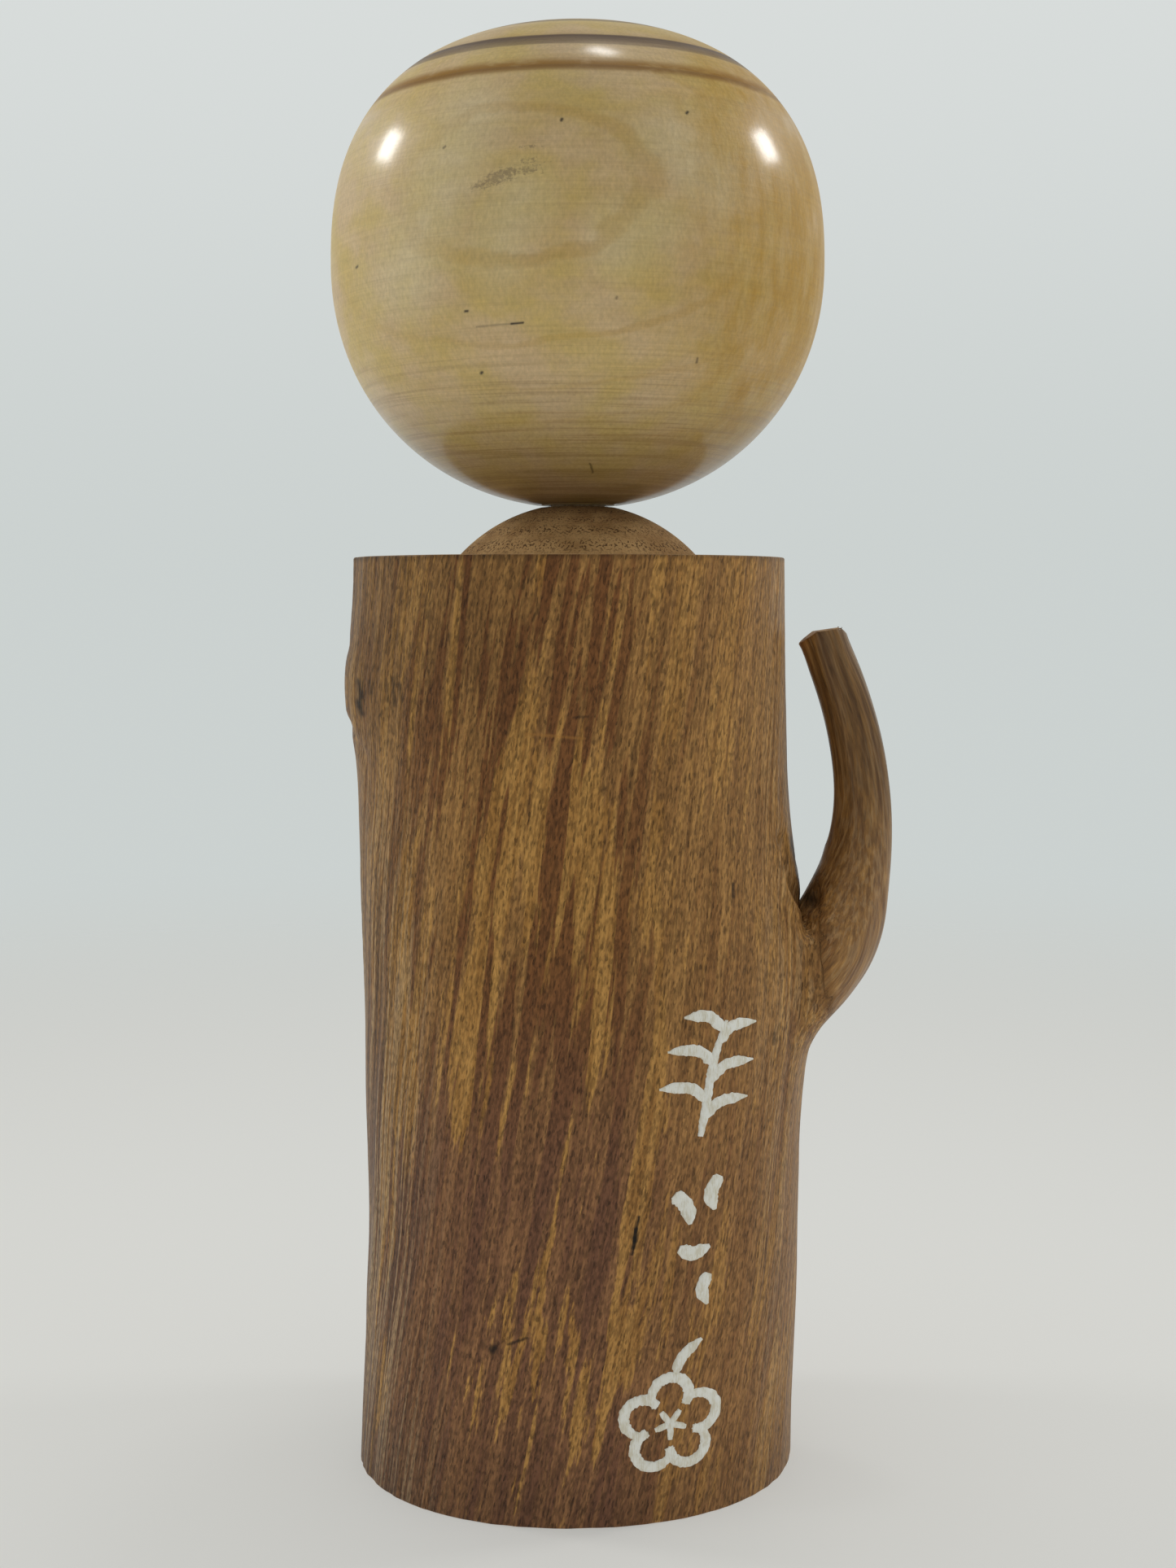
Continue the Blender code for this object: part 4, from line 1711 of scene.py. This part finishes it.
@dataclass(frozen=True)
class Stroke:
    """One brush stroke: the places it goes through, how wide it is, and how it starts and ends."""

    path: tuple[Place, ...]
    width: float
    start: float = 0.6
    end: float = 0.2
    full_from: float = 0.18
    full_to: float = 0.65

    def rows(self, spacing: float) -> list[tuple[float, float, float]]:
        """The stroke's middle line, as (across, up, width) rows close together.

        Args:
            spacing: how far apart the rows are.

        Returns:
            The rows.
        """
        around = (self.path[0], *self.path, self.path[-1])
        curve: list[Vector] = []
        for places in zip(around, around[1:], around[2:], around[3:]):
            corners = [Vector(place) for place in places]
            steps = max(2, math.ceil((corners[2] - corners[1]).length / spacing))
            curve += [smooth_point(corners, step / steps) for step in range(steps)]
        curve.append(Vector(self.path[-1]))
        rows = []
        for i, place in enumerate(curve):
            share = i / (len(curve) - 1)
            head = self.start + (1 - self.start) * smooth_share(share, 0.0, self.full_from)
            tail = self.end + (1 - self.end) * smooth_share(share, 1.0, self.full_to)
            rows.append((place.x, place.y, self.width * head * tail))
        return rows


class Brush:
    """Lays strokes on a surface as thin ridges of paint with uneven edges."""

    profile: tuple[Place, ...] = (  # a ridge's section: aside in half widths, up in heights
        (-1.0, -0.6),
        (-0.88, 0.5),
        (-0.5, 0.9),
        (0.0, 1.0),
        (0.5, 0.9),
        (0.88, 0.5),
        (1.0, -0.6),
    )
    edge_waves: tuple[Point, ...] = ((1.9, 5.0, 1.0), (4.3, 9.0, 0.6))  # steps, layer, share
    load_step: float = 1.1
    load_layer: float = 2.0

    def __init__(self, project: Projection, rise: float, spacing: float, ragged: float) -> None:
        """Takes the surface and the kind of brush.

        Args:
            project: gives the surface's point and normal for a place of a stroke.
            rise: how thick the paint is in the middle of a stroke, in metres.
            spacing: how far apart a stroke's rows are.
            ragged: how uneven a stroke's edges are, as a share of its width.
        """
        self.project = project
        self.rise = rise
        self.spacing = spacing
        self.ragged = ragged

    def lay(self, bm: bmesh.types.BMesh, stroke: Stroke) -> None:
        """Adds one stroke to a mesh, as a closed ridge.

        Args:
            bm: the mesh.
            stroke: the stroke.
        """
        rows = stroke.rows(self.spacing)
        rings = []
        for i, (across, up, width) in enumerate(rows):
            before, after = rows[max(i - 1, 0)], rows[min(i + 1, len(rows) - 1)]
            run, rise = after[0] - before[0], after[1] - before[1]
            length = math.hypot(run, rise) or 1.0
            side = (rise / length, -run / length)
            ring = []
            for aside, lift in self.profile:
                edge = 0.0
                for step, layer, part in self.edge_waves:
                    place = Vector((across * step, up * step, math.copysign(layer, aside)))
                    edge += part * noise.noise(place)
                reach = aside * width / 2 * (1 + self.ragged * edge)
                point, normal = self.project(across + side[0] * reach, up + side[1] * reach)
                place = Vector((across * self.load_step, up * self.load_step, self.load_layer))
                load = 1 + 0.5 * noise.noise(place)
                ring.append(bm.verts.new(point + normal * (lift * load * self.rise)))
            rings.append(ring)
        loops = [[bm.edges.new((a, b)) for a, b in zip(ring, ring[1:] + ring[:1])] for ring in rings]
        for first, second in zip(loops, loops[1:]):
            bmesh.ops.bridge_loops(bm, edges=first + second)
        for loop in (loops[0], loops[-1]):
            bmesh.ops.edgeloop_fill(bm, edges=loop)

    def paint(self, name: str, strokes: Iterable[Stroke], finish: PaintFinish) -> bpy.types.Object:
        """Lays several strokes as one piece.

        Args:
            name: the piece's name.
            strokes: the strokes.
            finish: the paint.

        Returns:
            The piece.
        """
        bm = bmesh.new()
        for stroke in strokes:
            self.lay(bm, stroke)
        bmesh.ops.recalc_face_normals(bm, faces=bm.faces)
        piece = add_object(name, bm)
        dress(piece, [finish.make()], 60.0)
        return piece


def arc(centre: Place, radii: Place, start: float, end: float, count: int = 7) -> tuple[Place, ...]:
    """Places along an ellipse's arc.

    Args:
        centre: its middle.
        radii: its half width and half height.
        start, end: the angles in degrees where the arc starts and ends.
        count: how many places there are.

    Returns:
        The places.
    """
    turns = [math.radians(start + (end - start) * i / (count - 1)) for i in range(count)]
    return tuple((centre[0] + radii[0] * math.cos(t), centre[1] + radii[1] * math.sin(t)) for t in turns)


@dataclass
class LogMark:
    """A white brushed mark on the log's front: a leaf sprig over loose petals over a blossom."""

    rise: float = 0.00022
    spacing: float = 0.35
    ragged: float = 0.22
    blossom_centre: Place = (14.8, 16.2)
    petal_count: int = 5
    petal_reach: float = 4.7
    petal_radius: float = 3.0
    petal_opening: float = 125.0
    stamen_reach: float = 2.6

    def sprig(self) -> list[Stroke]:
        """A stem with leaves, at the top.

        Returns:
            Its strokes, in millimetres.
        """
        strokes = [Stroke(((19.4, 62.6), (20.4, 68.0), (21.4, 74.0), (23.6, 80.6)), 1.5, 0.6, 0.4)]
        for x, z, reach in (
            (19.9, 65.4, 6.4),
            (20.4, 68.2, -6.8),
            (21.0, 71.2, 6.2),
            (21.5, 74.0, -6.6),
            (22.4, 77.2, 5.4),
            (23.0, 79.2, -5.6),
        ):
            path = ((x, z), (x + reach * 0.4, z + 2.3), (x + reach * 1.12, z + 2.5))
            strokes.append(Stroke(path, 1.9, 0.5, 0.2))
        return strokes

    def petals(self) -> list[Stroke]:
        """Loose petals, in the middle.

        Returns:
            Their strokes, in millimetres.
        """
        return [
            Stroke(((15.2, 53.6), (17.2, 51.6), (17.8, 48.6)), 2.6, 0.5, 0.3),
            Stroke(((22.6, 55.8), (21.2, 53.2), (21.8, 50.4)), 2.4, 0.5, 0.3),
            Stroke(((16.0, 44.8), (18.4, 43.8), (21.0, 44.6)), 2.4, 0.5, 0.3),
            Stroke(((20.8, 40.2), (19.8, 37.8), (20.6, 35.2)), 2.2, 0.5, 0.3),
        ]

    def blossom(self) -> list[Stroke]:
        """A blossom on a short twig, at the bottom.

        Returns:
            Its strokes, in millimetres.
        """

        def away(degrees: float, reach: float) -> Place:
            """A place at a reach from the blossom's middle."""
            x, z = self.blossom_centre
            return x + reach * math.cos(math.radians(degrees)), z + reach * math.sin(math.radians(degrees))

        strokes = []
        radii = (self.petal_radius, self.petal_radius)
        for petal in range(self.petal_count):
            turn = 90 + 360 / self.petal_count * petal
            middle = away(turn, self.petal_reach)
            edge = arc(middle, radii, turn - self.petal_opening, turn + self.petal_opening)
            strokes.append(Stroke(edge, 1.9, 0.8, 0.6))
            tip = away(turn + 180 / self.petal_count, self.stamen_reach)
            strokes.append(Stroke((self.blossom_centre, tip), 1.1, 0.9, 0.7))
        strokes.append(Stroke(((15.6, 24.6), (16.8, 27.2), (19.8, 29.6)), 1.9, 0.5, 0.3))
        return strokes

    def build(self, log: bpy.types.Object) -> bpy.types.Object:
        """Builds and dresses the mark on the log's surface.

        Args:
            log: the finished log.

        Returns:
            The piece.
        """
        bm = bmesh.new()
        bm.from_mesh(log.data)
        tree = BVHTree.FromBMesh(bm)
        bm.free()

        def project(x: float, z: float) -> tuple[Vector, Vector]:
            """The log's surface at a place seen from the front, in millimetres."""
            point, normal, _, _ = tree.ray_cast(Vector((x * MM, -0.06, z * MM)), Vector((0, 1, 0)))
            return point, normal

        brush = Brush(project, self.rise, self.spacing, self.ragged)
        strokes = self.sprig() + self.petals() + self.blossom()
        return place_piece(brush.paint("white_mark", strokes, WHITE_PAINT), Body.LOG, Slot.LOG)


@dataclass
class Face:
    """The painted face and hair on the head's +Y side. Places are (degrees to its left, height in mm)."""

    head: Head = field(default_factory=Head)
    rise: float = 0.00004
    spacing: float = 0.7
    ragged: float = 0.06

    def hair(self) -> list[Stroke]:
        """The fringe and the locks beside the face.

        Returns:
            Their strokes.
        """
        strokes = []
        for turn in range(-26, 27, 3):
            tip = 214.2 + abs(turn) * 0.04 + 0.8 * math.sin(turn * 1.7)
            path = ((turn * 0.55, 224.6), (turn * 0.85, 220.0), (turn, tip))
            strokes.append(Stroke(path, 3.4, 0.9, 0.35))
        for side in (-1, 1):
            for step in range(5):
                start, end = side * (50 + 3.2 * step), side * (54 + 2.8 * step)
                path = ((start, 222.5), (start + side * 3, 212.0), (end, 198.0 - 1.6 * step))
                strokes.append(Stroke(path, 3.0, 0.6, 0.2))
        return strokes

    def features(self) -> list[Stroke]:
        """Brows, eyes and nose.

        Returns:
            Their strokes, on both sides.
        """
        lines = (  # the path on one side, the width, and how the stroke starts and ends
            (((12, 208.0), (20, 210.0), (29, 207.6)), 0.9, 0.4, 0.2),
            (((11, 200.4), (19, 202.6), (28, 199.8)), 1.2, 0.4, 0.2),
            (((12, 200.0), (19, 199.4), (26, 199.6)), 0.6, 0.4, 0.2),
            (((18.6, 202.0), (18.8, 199.6)), 2.4, 0.8, 0.7),
            (((2.6, 194.6), (3.6, 191.6), (1.0, 190.4)), 0.8, 0.4, 0.3),
        )
        strokes = []
        for path, width, start, end in lines:
            for side in (-1, 1):
                strokes.append(Stroke(tuple((side * x, z) for x, z in path), width, start, end))
        return strokes

    def mouth(self) -> list[Stroke]:
        """A small closed mouth.

        Returns:
            Its strokes.
        """
        return [
            Stroke(((-5.0, 182.8), (-2.0, 183.5), (0.0, 183.0), (2.0, 183.5), (5.0, 182.8)), 1.4, 0.4, 0.4),
            Stroke(((-3.4, 181.9), (0.0, 181.2), (3.4, 181.9)), 1.2, 0.4, 0.4),
        ]

    def ribbons(self) -> list[Stroke]:
        """Red strokes beside the fringe, like hair ribbons.

        Returns:
            Their strokes.
        """
        strokes = []
        for side in (-1, 1):
            for step in range(3):
                path = (
                    (side * (33 + 2 * step), 222.5 - step),
                    (side * (38 + 3 * step), 220.0 - 1.6 * step),
                    (side * (41 + 3 * step), 215.5 - 2.2 * step),
                )
                strokes.append(Stroke(path, 2.2, 0.5, 0.3))
        return strokes

    def build(self) -> list[bpy.types.Object]:
        """Builds and dresses the painting.

        Returns:
            The black piece and the red piece.
        """

        def project(degrees: float, height: float) -> tuple[Vector, Vector]:
            """The head's surface at a place of the painting."""
            return self.head.surface(math.radians(90 - degrees), height * MM)

        brush = Brush(project, self.rise, self.spacing, self.ragged)
        return [
            place_piece(brush.paint(name, strokes, ink), Body.HEAD, Slot.HEAD)
            for name, strokes, ink in (
                ("hair_and_features", self.hair() + self.features(), BLACK_INK),
                ("mouth_and_ribbons", self.mouth() + self.ribbons(), RED_INK),
            )
        ]


# ------------------------------------------------------------------------------------------------ studio


@dataclass
class Studio:
    """A pale floor that fades into a pale background, soft lights and the camera."""

    floor_radius: float = 0.9
    fade_start: float = 0.30
    fade_end: float = 0.855
    level_sky: Colour = (0.60, 0.64, 0.63)
    upper_sky: Colour = (0.69, 0.72, 0.71)
    top_sky: Colour = (0.46, 0.47, 0.46)
    front_sky: Colour = (0.41, 0.41, 0.395)
    to_upper: Place = (0.0, 0.30)
    to_top: Place = (0.40, 0.70)
    to_front: Place = (-0.15, -0.85)
    floor: Colour = (0.55, 0.545, 0.525)
    floor_glow: Colour = (0.302, 0.304, 0.293)
    camera_place: Point = (0.0017, -0.36844, 0.1465)
    camera_tilt: float = 85.212
    lens: float = 49.92
    strip_size: Place = (0.060, 0.050)
    strip_power: float = 0.20
    strip_place: Point = (0.273, 0.066, 0.363)
    overhead_size: Place = (0.07, 0.05)
    overhead_power: float = 0.20
    overhead_place: Point = (0.058, 0.088, 0.764)
    light_aim: Point = (0.0, 0.0, 0.21)

    def light(self, name: str, place: Sequence[float], size: Place, power: float) -> None:
        """Adds a rectangular soft light that points at the head.

        Args:
            name: its name.
            place: where it is.
            size: its width and height.
            power: its power in watts.
        """
        lamp = bpy.data.lights.new(name, "AREA")
        lamp.shape = "RECTANGLE"
        lamp.size, lamp.size_y = size
        lamp.energy = power
        made = bpy.data.objects.new(name, lamp)
        made.location = place
        way = Vector(self.light_aim) - Vector(place)
        made.rotation_euler = way.to_track_quat("-Z", "Y").to_euler()
        bpy.context.scene.collection.objects.link(made)

    def build(self) -> None:
        """Builds the floor, the lights, the sky and the camera."""
        self.make_floor()
        self.make_sky()
        self.make_camera()
        x, y, z = self.strip_place
        for name, side in (("left_strip", -1), ("right_strip", 1)):
            self.light(name, (side * x, y, z), self.strip_size, self.strip_power)
        self.light("overhead", self.overhead_place, self.overhead_size, self.overhead_power)
        bpy.context.scene.view_settings.view_transform = "Standard"

    def make_floor(self) -> None:
        """A round floor whose edge fades into the background. A faint glow keeps its shadows soft."""
        bm = bmesh.new()
        bmesh.ops.create_circle(bm, cap_ends=True, radius=self.floor_radius, segments=96)
        floor = add_object("floor", bm)
        b = Bench("floor_paper")
        reach = (b.x * b.x + b.y * b.y).root()
        fade = reach.ease(self.fade_end / MM, self.fade_start / MM)
        finish = b.finish(
            self.floor,
            Roughness=0.9,
            Alpha=fade,
            Specular_IOR_Level=0.1,
            Emission_Color=self.floor_glow,
            Emission_Strength=1.0,
        )
        floor.data.materials.append(finish)

    def make_sky(self) -> None:
        """A pale sky, a little lighter above the horizon and darker overhead and behind the camera."""
        world = bpy.data.worlds.new("studio")
        world.use_nodes = True
        nodes = Nodes(world.node_tree)
        way = nodes.node("ShaderNodeTexCoord", {}, {}).outputs["Generated"]
        _, y, z = nodes.parts(way)
        sky = nodes.mixed(z.ease(*self.to_upper), self.level_sky, self.upper_sky)
        sky = nodes.mixed(z.ease(*self.to_top), sky, self.top_sky)
        sky = nodes.mixed(y.ease(*self.to_front), sky, self.front_sky)
        nodes.feed(world.node_tree.nodes["Background"].inputs["Color"], sky)
        bpy.context.scene.world = world

    def make_camera(self) -> None:
        """The camera, a little over a third of a metre in front and looking slightly down."""
        lens = bpy.data.cameras.new("camera")
        lens.lens = self.lens
        camera = bpy.data.objects.new("camera", lens)
        camera.location = self.camera_place
        camera.rotation_euler = (math.radians(self.camera_tilt), 0.0, 0.0)
        bpy.context.scene.collection.objects.link(camera)
        bpy.context.scene.camera = camera


def main() -> None:
    """Builds every piece in order and the studio around them."""
    logging.basicConfig(level=logging.INFO, format="%(name)s: %(message)s")
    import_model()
    log = LogBody().build()
    ShoulderDome().build()
    NeckPeg().build()
    head = Head()
    head.build()
    LogMark().build(log)
    Face(head).build()
    Studio().build()


if __name__ == "__main__":
    main()
